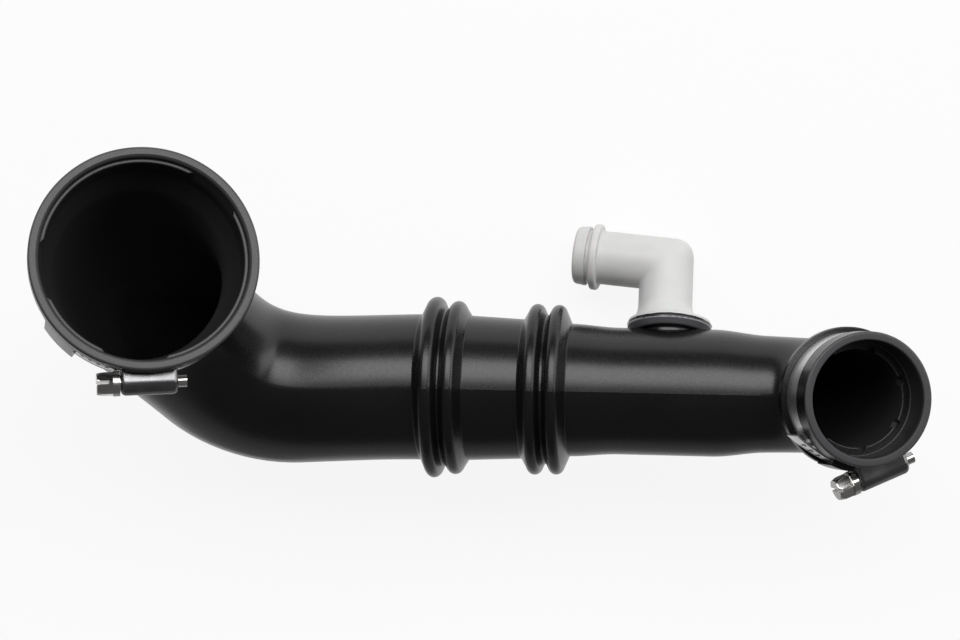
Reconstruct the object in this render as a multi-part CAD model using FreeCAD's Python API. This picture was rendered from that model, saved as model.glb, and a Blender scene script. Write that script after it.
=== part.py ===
"""Moulded engine air intake hose with a breather elbow and two worm-drive clamps.

The pieces are drawn with the straight tube's axis on X and both mouths facing +Z.
At the end everything is turned together into the pose in which the hose lies at rest,
with the middle of its underside at the origin.  Lengths are in millimetres, angles in degrees.
"""
import FreeCAD, Part
import math
import os

Vec = FreeCAD.Vector

# Rest pose: turn about the tube's axis, then about Y
REST_ROLL = -10.16
REST_PITCH = -3.65

# Hose wall and route: corners of the centre line and the bend radius at each corner
WALL = 2.5
LARGE_MOUTH = Vec(-104.7, 41.0, 73.3)
LARGE_SWING = 14.5
LARGE_LEAN = 16.4
NECK_DROP = 40.3
NECK_CORNER_RADIUS = 36.5
HEEL_CORNER = Vec(-86.2, -3.4, -4.4)
HEEL_CORNER_RADIUS = 28.0
TUBE_START = Vec(-32.3, 0.0, 0.0)
TUBE_START_RADIUS = 250.0
TURN_CORNER = Vec(109.5, 0.0, 0.0)
TURN_CORNER_RADIUS = 27.0
SMALL_LEAN = 21.7
SMALL_REACH = 43.0

# Outer radii along the route
NECK_MID_R = 31.0
NECK_END_R = 26.8
HEEL_R = 24.8
TUBE_LEFT_R = 24.7
TUBE_MID_LEFT_R = 24.5
TUBE_MID_RIGHT_R = 23.6
TUBE_RIGHT_R = 22.4
TUBE_BOSS_R = 21.35
TURN_START_R = 19.6
TURN_END_R = 18.8
TAPER_END_X = 42.0
BOSS_END_X = 74.0
LOFT_SPACING = 11.0

# Bellows: four convolutions in two pairs
RIB_PAIR_CENTRES = (-16.45, 17.85)
RIB_PITCH = 7.3
RIB_CREST_R = ((30.7, 29.4), (28.9, 28.7))
RIB_CREST_ROUND = 2.3
RIB_CREST_RISE = 1.7
RIB_FOOT = 4.3
RIB_SINK = 0.6
RIB_VALLEY_DEPTH = 4.6
GROOVE_CREST_ROUND = 1.2
GROOVE_FOOT = 3.4

# Cuffs: wall over the bore at the clamp seat, and the rounding of the rims
CUFF_WALL = 1.9
RIM_ROUND = 0.9

# Large cuff, depths measured back from the mouth's face
LARGE_BORE_R = 32.2
LARGE_BORE_DEPTH = 15.2
LARGE_RIM_RISE = 2.85
LARGE_RIM_DEPTH = 4.5
LARGE_BEAD_RISE = 1.2
LARGE_BEAD_WIDTH = 2.0
LARGE_NECK_STEP = 0.3
LARGE_LIP_STEP = 1.3
LARGE_LIP_DEPTH = 2.4
LARGE_LIP_GAP_STEP = 1.1
LARGE_LIP_GAP_DEPTH = 6.0
LARGE_LIP_GAPS = (-90.0, 50.0, 192.0)
LARGE_LIP_GAP_ANGLE = 35.0

# Small cuff, depths measured back from the mouth's face
SMALL_BORE_R = 18.9
SMALL_BORE_DEPTH = 10.5
SMALL_RIM_RISE = 1.05
SMALL_RIM_DEPTH = 8.2
SMALL_FLANGE_RISE = 2.4
SMALL_FLANGE_WIDTH = 3.2
SMALL_LIP_STEP = 0.4
SMALL_LIP_DEPTH = 1.0
SMALL_STOP_STEP = 3.0
SMALL_STOP_WIDTH = 2.6
SMALL_NOTCHES = 7
SMALL_NOTCH_START = -30.0
SMALL_NOTCH_WIDTH = 2.6
SMALL_NOTCH_DEPTH = 1.5

# Breather boss on the tube and the elbow welded to it
BOSS_X = 58.3
BOSS_LEAN = 16.8
BOSS_NECK_R = 9.9
BOSS_NECK_TOP = 20.2
BOSS_R = 14.2
BOSS_RIM = 1.2
BOSS_TOP = 23.4
BOSS_EDGE = 0.4
BOSS_ROOT = 12.0

ELBOW_R = 9.15
ELBOW_BORE_R = 7.4
ELBOW_FLANGE_R = 14.0
ELBOW_FLANGE_RIM = 1.2
ELBOW_FLARE_HEIGHT = 5.6
ELBOW_FLARE_SECTIONS = 4
ELBOW_LEG_SHIFT = -1.65
ELBOW_CORNER_HEIGHT = 45.1
ELBOW_CORNER_ROUND = 6.0
SPIGOT_RISE = 6.4
SPIGOT_SWING = 2.9
SPIGOT_LENGTH = 31.4
SPIGOT_COLLAR_R = 11.3
SPIGOT_COLLAR_START = 23.0
SPIGOT_COLLAR_WIDTH = 2.6
SPIGOT_BEAD_R = 10.2
SPIGOT_BEAD_START = 27.0
SPIGOT_EDGE = 0.5

# Worm-drive clamps: 9 mm band, 7 mm hexagon screw
BAND_WIDTH = 9.0
BAND_THICKNESS = 0.6
BAND_LAYER_GAP = 0.15
BAND_SIDE_CLEARANCE = 0.25
BAND_TAIL_BEND_R = 60.0
BAND_SLOT_PITCH = 2.9
BAND_SLOT_WIDTH = 1.2
BAND_SLOT_LENGTH = 5.4
BAND_SLOT_SLANT = 8.0
BAND_JOGGLE_ANGLE = 3.0
BAND_SLOT_MARGIN = 3.0
BAND_SLOT_REACH = 6.0
HOUSING_LENGTH = 18.2
HOUSING_WALL = 0.7
HOUSING_END_WALL = 1.3
HOUSING_END_ROUND = 1.6
HOUSING_LEG_REACH = 6.0
SCREW_WORM_R = 3.0
SCREW_WORM_ROOM = 0.3
SCREW_BAND_CLEARANCE = 0.35
SCREW_NECK_R = 2.5
SCREW_TIP_R = 1.9
SCREW_TIP_LENGTH = 2.9
SCREW_JOIN = 0.8
SCREW_RUNNING_CLEARANCE = 0.08
SCREW_END_PLAY = 0.3
SCREW_COLLAR_RISE = 1.1
SCREW_COLLAR_LENGTH = 2.2
SCREW_HEX_FLATS = 7.0
SCREW_HEX_LENGTH = 5.1
SCREW_CROWN = (0.84, 1.24)
SCREW_SLOT_WIDTH = 1.1
SCREW_SLOT_DEPTH = 3.8
SCREW_HEAD_TURN = 94.0

# Place of each clamp: angle round the mouth, reach of the band's doubled end and of its tail
# on either side of the screw, and the keeper moulded over the tail
LARGE_CLAMP_ANGLE = -82.5
LARGE_DOUBLED_ANGLE = 43.0
LARGE_TAIL_ANGLE = 62.0
LARGE_TAIL_LENGTH = 5.0
LARGE_KEEPER = (40.0, 60.0)
SMALL_CLAMP_ANGLE = -67.5
SMALL_DOUBLED_ANGLE = 42.0
SMALL_TAIL_ANGLE = 50.0
SMALL_TAIL_LENGTH = 13.0
SMALL_KEEPER = (27.0, 47.0)
KEEPER_CLEARANCE = 0.35
KEEPER_THICKNESS = 1.2
KEEPER_SIDE = 1.6
KEEPER_ROOT = 0.5

# Overshoot of a cut past the face it opens, and the middle of a quarter round
CUT_OVER = 1.0
ROUND_MID = 1 - math.sqrt(0.5)

X_AXIS = Vec(1, 0, 0)
Y_AXIS = Vec(0, 1, 0)
Z_AXIS = Vec(0, 0, 1)
ORIGIN = Vec(0, 0, 0)


def direction(swing, lean):
    """Unit vector from +Z, swung about X towards +Y and leaning towards +X."""
    a = math.radians(swing)
    b = math.radians(lean)
    return Vec(math.sin(b), math.cos(b) * math.sin(a), math.cos(b) * math.cos(a))


def frame_at(point, z_dir, x_hint):
    """Placement whose Z runs along z_dir and whose X lies as near x_hint as it can."""
    return FreeCAD.Placement(point, FreeCAD.Rotation(x_hint, ORIGIN, z_dir, "ZXY"))


# Sizes that follow from the driving ones
LARGE_SEAT_R = LARGE_BORE_R + CUFF_WALL
SMALL_SEAT_R = SMALL_BORE_R + CUFF_WALL
SCREW_HEIGHT = SCREW_WORM_R + SCREW_BAND_CLEARANCE
SCREW_CAVITY_R = SCREW_WORM_R + SCREW_WORM_ROOM
HOUSING_R = SCREW_CAVITY_R + HOUSING_WALL
SEAT_LENGTH = 2 * (max(BAND_WIDTH / 2, HOUSING_R) + BAND_SIDE_CLEARANCE)
LARGE_BEAD_START = LARGE_RIM_DEPTH + SEAT_LENGTH
SMALL_FLANGE_START = SMALL_RIM_DEPTH + SEAT_LENGTH
LARGE_BAND_DEPTH = LARGE_RIM_DEPTH + SEAT_LENGTH / 2
SMALL_BAND_DEPTH = SMALL_RIM_DEPTH + SEAT_LENGTH / 2
SMALL_STOP_DEPTH = SMALL_BORE_DEPTH + SMALL_STOP_WIDTH
BAND_STACK = 2 * BAND_THICKNESS + BAND_LAYER_GAP

LARGE_AXIS = direction(LARGE_SWING, LARGE_LEAN)
SMALL_AXIS = direction(0.0, SMALL_LEAN)
SMALL_MOUTH = TURN_CORNER + SMALL_AXIS * SMALL_REACH
NECK_CORNER = LARGE_MOUTH - LARGE_AXIS * NECK_DROP
# Mouth frames: origin on the face, Z out of the mouth, X towards +X of the drawing
LARGE_FRAME = frame_at(LARGE_MOUTH, LARGE_AXIS, X_AXIS)
SMALL_FRAME = frame_at(SMALL_MOUTH, SMALL_AXIS, X_AXIS)


# Centre line and lofted stretches
def rounded_route(corners, radii):
    """Stretches of a route: straight legs joined by arcs tangent to them."""
    stretches = []
    start = corners[0]
    for before, corner, after, radius in zip(corners, corners[1:], corners[2:], radii):
        d_in = (corner - before).normalize()
        d_out = (after - corner).normalize()
        turn = d_in.getAngle(d_out)
        setback = radius * math.tan(turn / 2)
        arc_start = corner - d_in * setback
        inward = (d_out - d_in * d_in.dot(d_out)).normalize()
        stretches.append((start, d_in, (arc_start - start).Length, None, None))
        stretches.append((arc_start, d_in, radius * turn, inward, radius))
        start = corner + d_out * setback
    last = corners[-1] - start
    stretches.append((start, Vec(last).normalize(), last.Length, None, None))
    return stretches


def point_on(stretches, distance):
    """Point and heading at a distance along the route."""
    for start, heading, length, inward, radius in stretches:
        if distance <= length or start is stretches[-1][0]:
            break
        distance -= length
    if inward is None:
        return start + heading * distance, heading
    angle = distance / radius
    point = start + heading * (radius * math.sin(angle)) + inward * (radius * (1 - math.cos(angle)))
    return point, heading * math.cos(angle) + inward * math.sin(angle)


def smooth_value(knots, x):
    """Cubic through (distance, value) knots, flat where the values turn back."""
    slopes = [0.0]
    for (x0, y0), (x1, y1), (x2, y2) in zip(knots, knots[1:], knots[2:]):
        left = (y1 - y0) / (x1 - x0)
        right = (y2 - y1) / (x2 - x1)
        slopes.append(0.0 if left * right <= 0 else 2 * left * right / (left + right))
    slopes.append(0.0)
    last = len(knots) - 2
    i = max(k for k in range(last + 1) if x >= knots[k][0] or k == 0)
    (x0, y0), (x1, y1) = knots[i], knots[i + 1]
    h = x1 - x0
    t = (x - x0) / h
    rise = y0 * (1 + 2 * t) * (1 - t) ** 2 + y1 * t * t * (3 - 2 * t)
    return rise + h * t * (1 - t) * (slopes[i] * (1 - t) - slopes[i + 1] * t)


def lofted_tube(stretches, knots, shrink):
    """Solid of round sections along a route, each smaller than the knots say by shrink."""
    total = knots[-1][0]
    count = round(total / LOFT_SPACING)
    sections = []
    for k in range(count + 1):
        distance = total * k / count
        point, heading = point_on(stretches, distance)
        circle = Part.makeCircle(smooth_value(knots, distance) - shrink)
        circle.Placement = frame_at(point, heading, Y_AXIS)
        sections.append(Part.Wire(circle))
    return Part.makeLoft(sections, True, False)


def revolved(profile, frame):
    """Solid turned about the frame's Z from (radius, height) points; a 3-point entry is an arc."""
    edges = []
    here = profile[0]
    for step in profile[1:] + [profile[0]]:
        if isinstance(step[0], tuple):
            via, end = step
            edges.append(Part.Arc(Vec(here[0], 0, here[1]), Vec(via[0], 0, via[1]),
                                  Vec(end[0], 0, end[1])).toShape())
        else:
            end = step
            edges.append(Part.makeLine(Vec(here[0], 0, here[1]), Vec(end[0], 0, end[1])))
        here = end
    solid = Part.Face(Part.Wire(edges)).revolve(ORIGIN, Z_AXIS, 360)
    solid.Placement = frame
    return solid


def cylinder(radius, start, end, frame):
    """Cylinder about the frame's Z between two heights."""
    solid = Part.makeCylinder(radius, end - start, Vec(0, 0, start))
    solid.Placement = frame.multiply(solid.Placement)
    return solid


def sector(r_in, r_out, angle_from, angle_to, z_from, z_to):
    """Part of a ring about Z between two radii, two angles and two heights."""
    ring = Part.makeCylinder(r_out, z_to - z_from, Vec(0, 0, z_from), Z_AXIS, angle_to - angle_from)
    core = Part.makeCylinder(r_in, z_to - z_from, Vec(0, 0, z_from))
    ring.rotate(ORIGIN, Z_AXIS, angle_from)
    return ring.cut(core)


# Hose
def left_route():
    """Route from inside the large cuff to the middle of the first convolution."""
    first_rib = Vec(RIB_PAIR_CENTRES[0] - RIB_PITCH / 2, 0, 0)
    top = LARGE_MOUTH - LARGE_AXIS * (LARGE_BEAD_START + LARGE_BEAD_WIDTH / 2)
    corners = [top, NECK_CORNER, HEEL_CORNER, TUBE_START, first_rib]
    radii = [NECK_CORNER_RADIUS, HEEL_CORNER_RADIUS, TUBE_START_RADIUS]
    stretches = rounded_route(corners, radii)
    lengths = [s[2] for s in stretches]
    ends = [sum(lengths[:k + 1]) for k in range(len(lengths))]
    knots = [(0.0, LARGE_SEAT_R - LARGE_NECK_STEP), (ends[0], NECK_MID_R), (ends[1], NECK_END_R),
             ((ends[2] + ends[3]) / 2, HEEL_R), (ends[4], TUBE_LEFT_R), (ends[6], TUBE_LEFT_R)]
    return stretches, knots


def right_route(end_depth):
    """Route from the middle of the last convolution to a depth inside the small cuff."""
    last_rib = Vec(RIB_PAIR_CENTRES[1] + RIB_PITCH / 2, 0, 0)
    end = SMALL_MOUTH - SMALL_AXIS * end_depth
    stretches = rounded_route([last_rib, TURN_CORNER, end], [TURN_CORNER_RADIUS])
    straight, bend, cuff = [s[2] for s in stretches]
    knots = [(0.0, TUBE_RIGHT_R), (RIB_FOOT, TUBE_RIGHT_R), (TAPER_END_X - last_rib.x, TUBE_BOSS_R),
             (BOSS_END_X - last_rib.x, TUBE_BOSS_R), (straight, TURN_START_R),
             (straight + bend + cuff, TURN_END_R)]
    return stretches, knots


def rib(centre, crest, left_foot, right_foot, half_round, rise):
    """Profile points of one rounded convolution between two (radius, x) foot points."""
    return [left_foot, (crest - rise, centre - half_round),
            ((crest, centre), (crest - rise, centre + half_round)), right_foot]


def bellows(shrink, half, foot):
    """Turned solid of the four convolutions and the tapering tube between the pairs."""
    profile = []
    tube_radii = ((TUBE_LEFT_R, TUBE_MID_LEFT_R), (TUBE_MID_RIGHT_R, TUBE_RIGHT_R))
    for middle, crests, (tube_in, tube_out) in zip(RIB_PAIR_CENTRES, RIB_CREST_R, tube_radii):
        first = middle - RIB_PITCH / 2
        second = middle + RIB_PITCH / 2
        valley = (max(tube_in, crests[0] - RIB_VALLEY_DEPTH) - shrink, middle)
        left = (tube_in - shrink, first - foot)
        right = (tube_out - shrink, second + foot)
        profile += rib(first, crests[0] - shrink, left, valley, half, RIB_CREST_RISE)
        profile += rib(second, crests[1] - shrink, valley, right, half, RIB_CREST_RISE)[1:]
    # The outermost feet reach a little below the tube's surface, so that they cross it cleanly
    profile[0] = (profile[0][0] - RIB_SINK, profile[0][1])
    profile[-1] = (profile[-1][0] - RIB_SINK, profile[-1][1])
    start = (0.0, profile[0][1])
    end = (0.0, profile[-1][1])
    return revolved([start] + profile + [end], frame_at(ORIGIN, X_AXIS, Y_AXIS))


def large_cuff():
    """Turned body of the large cuff: rim, clamp seat and rear bead."""
    r = RIM_ROUND
    rim = LARGE_SEAT_R + LARGE_RIM_RISE
    bead = LARGE_SEAT_R + LARGE_BEAD_RISE
    bead_end = LARGE_BEAD_START + LARGE_BEAD_WIDTH
    profile = [(0, 0), (rim - r, 0),
               ((rim - ROUND_MID * r, -ROUND_MID * r), (rim, -r)),
               (rim, -LARGE_RIM_DEPTH), (LARGE_SEAT_R, -LARGE_RIM_DEPTH),
               (LARGE_SEAT_R, -LARGE_BEAD_START), (bead, -LARGE_BEAD_START), (bead, -bead_end), (0, -bead_end)]
    return revolved(profile, LARGE_FRAME)


def large_bore():
    """Space inside the large cuff: stepped mouth with three gaps in the step, and the bore."""
    lip = LARGE_BORE_R + LARGE_LIP_STEP
    mouth = [(0, CUT_OVER), (lip + RIM_ROUND + CUT_OVER, CUT_OVER), (lip, -RIM_ROUND), (lip, -LARGE_LIP_DEPTH),
             (LARGE_BORE_R, -LARGE_LIP_DEPTH), (LARGE_BORE_R, -LARGE_BORE_DEPTH), (0, -LARGE_BORE_DEPTH)]
    space = revolved(mouth, LARGE_FRAME)
    half = LARGE_LIP_GAP_ANGLE / 2
    for middle in LARGE_LIP_GAPS:
        gap = sector(LARGE_BORE_R - CUT_OVER, LARGE_BORE_R + LARGE_LIP_GAP_STEP, middle - half, middle + half,
                     -LARGE_LIP_GAP_DEPTH, -LARGE_LIP_DEPTH / 2)
        gap.Placement = LARGE_FRAME.multiply(gap.Placement)
        space = space.fuse(gap)
    return space


def small_cuff():
    """Turned body of the small cuff: rim, clamp seat and rear flange."""
    r = RIM_ROUND
    rim = SMALL_SEAT_R + SMALL_RIM_RISE
    flange = SMALL_SEAT_R + SMALL_FLANGE_RISE
    flange_end = SMALL_FLANGE_START + SMALL_FLANGE_WIDTH
    profile = [(0, 0), (rim - r, 0),
               ((rim - ROUND_MID * r, -ROUND_MID * r), (rim, -r)),
               (rim, -SMALL_RIM_DEPTH), (SMALL_SEAT_R, -SMALL_RIM_DEPTH),
               (SMALL_SEAT_R, -SMALL_FLANGE_START), (flange, -SMALL_FLANGE_START), (flange, -flange_end),
               (0, -flange_end)]
    return revolved(profile, SMALL_FRAME)


def small_bore():
    """Space inside the small cuff: bore, and a stop ring with radial notches."""
    lip = SMALL_BORE_R + SMALL_LIP_STEP
    stop = SMALL_BORE_R - SMALL_STOP_STEP
    stop_end = -SMALL_STOP_DEPTH - CUT_OVER
    mouth = [(0, CUT_OVER), (lip + CUT_OVER, CUT_OVER), (lip, 0), (SMALL_BORE_R, -SMALL_LIP_DEPTH),
             (SMALL_BORE_R, -SMALL_BORE_DEPTH), (stop, -SMALL_BORE_DEPTH), (stop, stop_end), (0, stop_end)]
    space = revolved(mouth, SMALL_FRAME)
    for k in range(SMALL_NOTCHES):
        notch = Part.makeBox(stop + SMALL_NOTCH_DEPTH, SMALL_NOTCH_WIDTH, SMALL_STOP_WIDTH,
                             Vec(0, -SMALL_NOTCH_WIDTH / 2, CUT_OVER - SMALL_STOP_DEPTH))
        notch.rotate(ORIGIN, Z_AXIS, SMALL_NOTCH_START + 360.0 * k / SMALL_NOTCHES)
        notch.Placement = SMALL_FRAME.multiply(notch.Placement)
        space = space.fuse(notch)
    return space


def boss_frame():
    """Frame of the breather boss: on the tube's axis, Z out through the boss."""
    lean = math.radians(BOSS_LEAN)
    return frame_at(Vec(BOSS_X, 0, 0), Vec(0, math.cos(lean), -math.sin(lean)), X_AXIS)


def boss():
    """Short neck with a rim that carries the elbow."""
    profile = [(0, BOSS_ROOT), (BOSS_NECK_R, BOSS_ROOT), (BOSS_NECK_R, BOSS_NECK_TOP),
               (BOSS_R, BOSS_TOP - BOSS_RIM), (BOSS_R, BOSS_TOP - BOSS_EDGE),
               (BOSS_R - BOSS_EDGE, BOSS_TOP), (0, BOSS_TOP)]
    return revolved(profile, boss_frame())


def keeper(frame, angle, span, band_depth, seat_r):
    """Bridge moulded over the clamp's tail, joined to the rim and to the ring behind the seat."""
    inside = seat_r + BAND_STACK + KEEPER_CLEARANCE
    outside = inside + KEEPER_THICKNESS
    half = BAND_WIDTH / 2 + KEEPER_CLEARANCE
    body_half = SEAT_LENGTH / 2 + KEEPER_SIDE
    start = angle - span[1]
    end = angle - span[0]
    body = sector(seat_r - KEEPER_ROOT, outside, start, end, -body_half, body_half)
    slot = sector(seat_r - CUFF_WALL, inside, 0, 360, -half, half)
    bridge = body.cut(slot)
    bridge.Placement = frame.multiply(FreeCAD.Placement(Vec(0, 0, -band_depth), FreeCAD.Rotation()))
    return bridge


def intake_hose():
    """The moulded hose: duct with bellows, bends, two cuffs, boss and clamp keepers."""
    left, left_knots = left_route()
    right, right_knots = right_route(SMALL_FLANGE_START + SMALL_FLANGE_WIDTH / 2)
    inside, inside_knots = right_route(SMALL_STOP_DEPTH)
    outer = bellows(0.0, RIB_CREST_ROUND, RIB_FOOT)
    for piece in (lofted_tube(left, left_knots, 0.0), lofted_tube(right, right_knots, 0.0),
                  large_cuff(), small_cuff(), boss(),
                  keeper(LARGE_FRAME, LARGE_CLAMP_ANGLE, LARGE_KEEPER, LARGE_BAND_DEPTH, LARGE_SEAT_R),
                  keeper(SMALL_FRAME, SMALL_CLAMP_ANGLE, SMALL_KEEPER, SMALL_BAND_DEPTH, SMALL_SEAT_R)):
        outer = outer.fuse(piece)
    inner = bellows(WALL, GROOVE_CREST_ROUND, GROOVE_FOOT)
    for piece in (lofted_tube(left, left_knots, WALL), lofted_tube(inside, inside_knots, WALL),
                  large_bore(), small_bore(),
                  cylinder(ELBOW_BORE_R, BOSS_ROOT, BOSS_TOP + CUT_OVER, boss_frame())):
        inner = inner.fuse(piece)
    return outer.cut(inner)


# Breather elbow
def spigot_ring(radius, start, end, frame):
    """Ring on the spigot with its two edges broken."""
    e = SPIGOT_EDGE
    return revolved([(0, start), (radius - e, start), (radius, start + e), (radius, end - e),
                     (radius - e, end), (0, end)], frame)


def outer_corner(corner, up, heading):
    """What rounding takes off the outside of the mitred corner, as a block less a cylinder."""
    outward = (up - heading).normalize()
    lean = math.cos(up.getAngle(heading) / 2)
    side = up.cross(heading).normalize()
    centre = corner + outward * ((ELBOW_R - ELBOW_CORNER_ROUND) / lean)
    size = 4 * ELBOW_R
    block = Part.makeBox(size, size, size, Vec(-size / 2, -size / 2, ELBOW_CORNER_ROUND * lean))
    block.Placement = frame_at(centre, outward, side)
    return block.cut(cylinder(ELBOW_CORNER_ROUND, -size, size, frame_at(centre, side, outward)))


def elbow_flare(foot, along):
    """Hollow curve from the foot's rim in to the upright leg, which stands a little off its centre."""
    base = BOSS_TOP + ELBOW_FLANGE_RIM
    sections = []
    for k in range(ELBOW_FLARE_SECTIONS + 1):
        turn = math.radians(90.0 * k / ELBOW_FLARE_SECTIONS)
        inward = math.sin(turn)
        radius = ELBOW_FLANGE_R + (ELBOW_R - ELBOW_FLANGE_R) * inward
        circle = Part.makeCircle(radius, Vec(0, 0, base + ELBOW_FLARE_HEIGHT * (1 - math.cos(turn))))
        shift = FreeCAD.Placement(along * (ELBOW_LEG_SHIFT * inward), FreeCAD.Rotation())
        circle.Placement = shift.multiply(foot.multiply(circle.Placement))
        sections.append(Part.Wire(circle))
    return Part.makeLoft(sections, True, False)


def breather_elbow():
    """Elbow of white plastic: flared foot on the boss, mitred corner, spigot with two collars."""
    foot = boss_frame()
    up = foot.Rotation.multVec(Z_AXIS)
    along = foot.Rotation.multVec(X_AXIS)
    across = foot.Rotation.multVec(Y_AXIS)
    leg_base = foot.Base + along * ELBOW_LEG_SHIFT
    corner = leg_base + up * ELBOW_CORNER_HEIGHT
    rise = math.radians(SPIGOT_RISE)
    swing = math.radians(SPIGOT_SWING)
    heading = along * (-math.cos(rise) * math.cos(swing)) + up * math.sin(rise)
    heading = (heading + across * (math.cos(rise) * math.sin(swing))).normalize()
    leg = frame_at(leg_base, up, along)
    spigot = frame_at(corner, heading, up)

    # Mitred corner: both pipes run past it and are trimmed on the plane that halves the angle
    mitre = (up + heading).normalize()
    over = 3 * ELBOW_R
    side = 8 * ELBOW_R
    trim = Part.makeBox(side, side, side, Vec(-side / 2, -side / 2, 0))
    behind = trim.copy()
    trim.Placement = frame_at(corner, mitre, across)
    behind.Placement = frame_at(corner, mitre * -1, across)

    def pipe(radius, low, far):
        upright = cylinder(radius, low, ELBOW_CORNER_HEIGHT + over, leg).cut(trim)
        level = cylinder(radius, -over, far, spigot).cut(behind)
        return upright.fuse(level).removeSplitter()

    body = pipe(ELBOW_R, BOSS_TOP + ELBOW_FLANGE_RIM, SPIGOT_LENGTH).cut(outer_corner(corner, up, heading))
    for piece in (cylinder(ELBOW_FLANGE_R, BOSS_TOP, BOSS_TOP + ELBOW_FLANGE_RIM, foot), elbow_flare(foot, along),
                  spigot_ring(SPIGOT_COLLAR_R, SPIGOT_COLLAR_START,
                              SPIGOT_COLLAR_START + SPIGOT_COLLAR_WIDTH, spigot),
                  spigot_ring(SPIGOT_BEAD_R, SPIGOT_BEAD_START, SPIGOT_LENGTH, spigot)):
        body = body.fuse(piece)
    return body.cut(pipe(ELBOW_BORE_R, BOSS_TOP - CUT_OVER, SPIGOT_LENGTH + CUT_OVER))


# Clamps, drawn about Z with the screw over +X and its head towards -Y
def clamp_band(seat_r, doubled_angle, tail_angle, tail_length):
    """Steel band round the cuff, its doubled end and the slotted tail that leaves it."""
    half = BAND_WIDTH / 2
    outer_out = seat_r + BAND_STACK
    outer_in = outer_out - BAND_THICKNESS
    ring = sector(seat_r, seat_r + BAND_THICKNESS, 0, 360, -half, half)
    layer = sector(outer_in, outer_out, -tail_angle, doubled_angle, -half, half)
    joggle = sector(seat_r, outer_out, doubled_angle - BAND_JOGGLE_ANGLE, doubled_angle, -half, half)
    # The tail springs off the ring along an arc tangent to it, of a larger radius
    tail_span = math.degrees(tail_length / BAND_TAIL_BEND_R)
    offset = BAND_TAIL_BEND_R - outer_in
    tail = sector(BAND_TAIL_BEND_R, BAND_TAIL_BEND_R + BAND_THICKNESS,
                  -tail_angle - tail_span, -tail_angle, -half, half)
    tail_dir = math.radians(-tail_angle)
    tail.translate(Vec(-offset * math.cos(tail_dir), -offset * math.sin(tail_dir), 0))
    band = ring.fuse(layer).fuse(joggle).fuse(tail)
    housing_angle = math.degrees(math.atan2(HOUSING_LENGTH / 2, outer_out))
    step = math.degrees(BAND_SLOT_PITCH / outer_out)
    total_angle = tail_angle + math.degrees(tail_length / outer_out)
    for k in range(int((total_angle - housing_angle - BAND_SLOT_MARGIN) / step)):
        angle = -housing_angle - BAND_SLOT_MARGIN - k * step
        slot = Part.makeBox(BAND_SLOT_REACH, BAND_SLOT_WIDTH, BAND_SLOT_LENGTH,
                            Vec(0, -BAND_SLOT_WIDTH / 2, -BAND_SLOT_LENGTH / 2))
        slot.rotate(ORIGIN, X_AXIS, BAND_SLOT_SLANT)
        slot.translate(Vec(seat_r + BAND_THICKNESS + BAND_LAYER_GAP / 2, 0, 0))
        slot.rotate(ORIGIN, Z_AXIS, angle)
        band = band.cut(slot)
    return band


def clamp_housing(seat_r):
    """Formed steel housing on the band: arched shell with an end wall for each screw bearing."""
    base_r = seat_r + BAND_STACK
    axis_r = base_r + SCREW_HEIGHT
    half = HOUSING_LENGTH / 2
    axis = frame_at(Vec(axis_r, 0, 0), Y_AXIS, X_AXIS)
    arch = cylinder(HOUSING_R, -half, half, axis)
    legs = Part.makeBox(SCREW_HEIGHT + HOUSING_LEG_REACH, HOUSING_LENGTH, 2 * HOUSING_R,
                        Vec(axis_r - SCREW_HEIGHT - HOUSING_LEG_REACH, -half, -HOUSING_R))
    shell = arch.fuse(legs).removeSplitter()
    ends = [e for e in shell.Edges if abs(abs(e.CenterOfMass.y) - half) < 1e-6
            and e.CenterOfMass.x > axis_r]
    shell = shell.makeFillet(HOUSING_END_ROUND, ends)
    inside = half - HOUSING_END_WALL
    cavity = cylinder(SCREW_CAVITY_R, -inside, inside, axis)
    gap = Part.makeBox(SCREW_HEIGHT + HOUSING_LEG_REACH, 2 * inside, 2 * SCREW_CAVITY_R,
                       Vec(axis_r - SCREW_HEIGHT - HOUSING_LEG_REACH, -inside, -SCREW_CAVITY_R))
    neck = cylinder(SCREW_NECK_R + SCREW_RUNNING_CLEARANCE, -half - CUT_OVER, -inside + CUT_OVER, axis)
    tip = cylinder(SCREW_TIP_R + SCREW_RUNNING_CLEARANCE, inside - CUT_OVER, half + CUT_OVER, axis)
    under = Part.makeCylinder(base_r, 4 * HOUSING_R, Vec(0, 0, -2 * HOUSING_R))
    for piece in (cavity, gap, neck, tip, under):
        shell = shell.cut(piece)
    return shell


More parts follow.
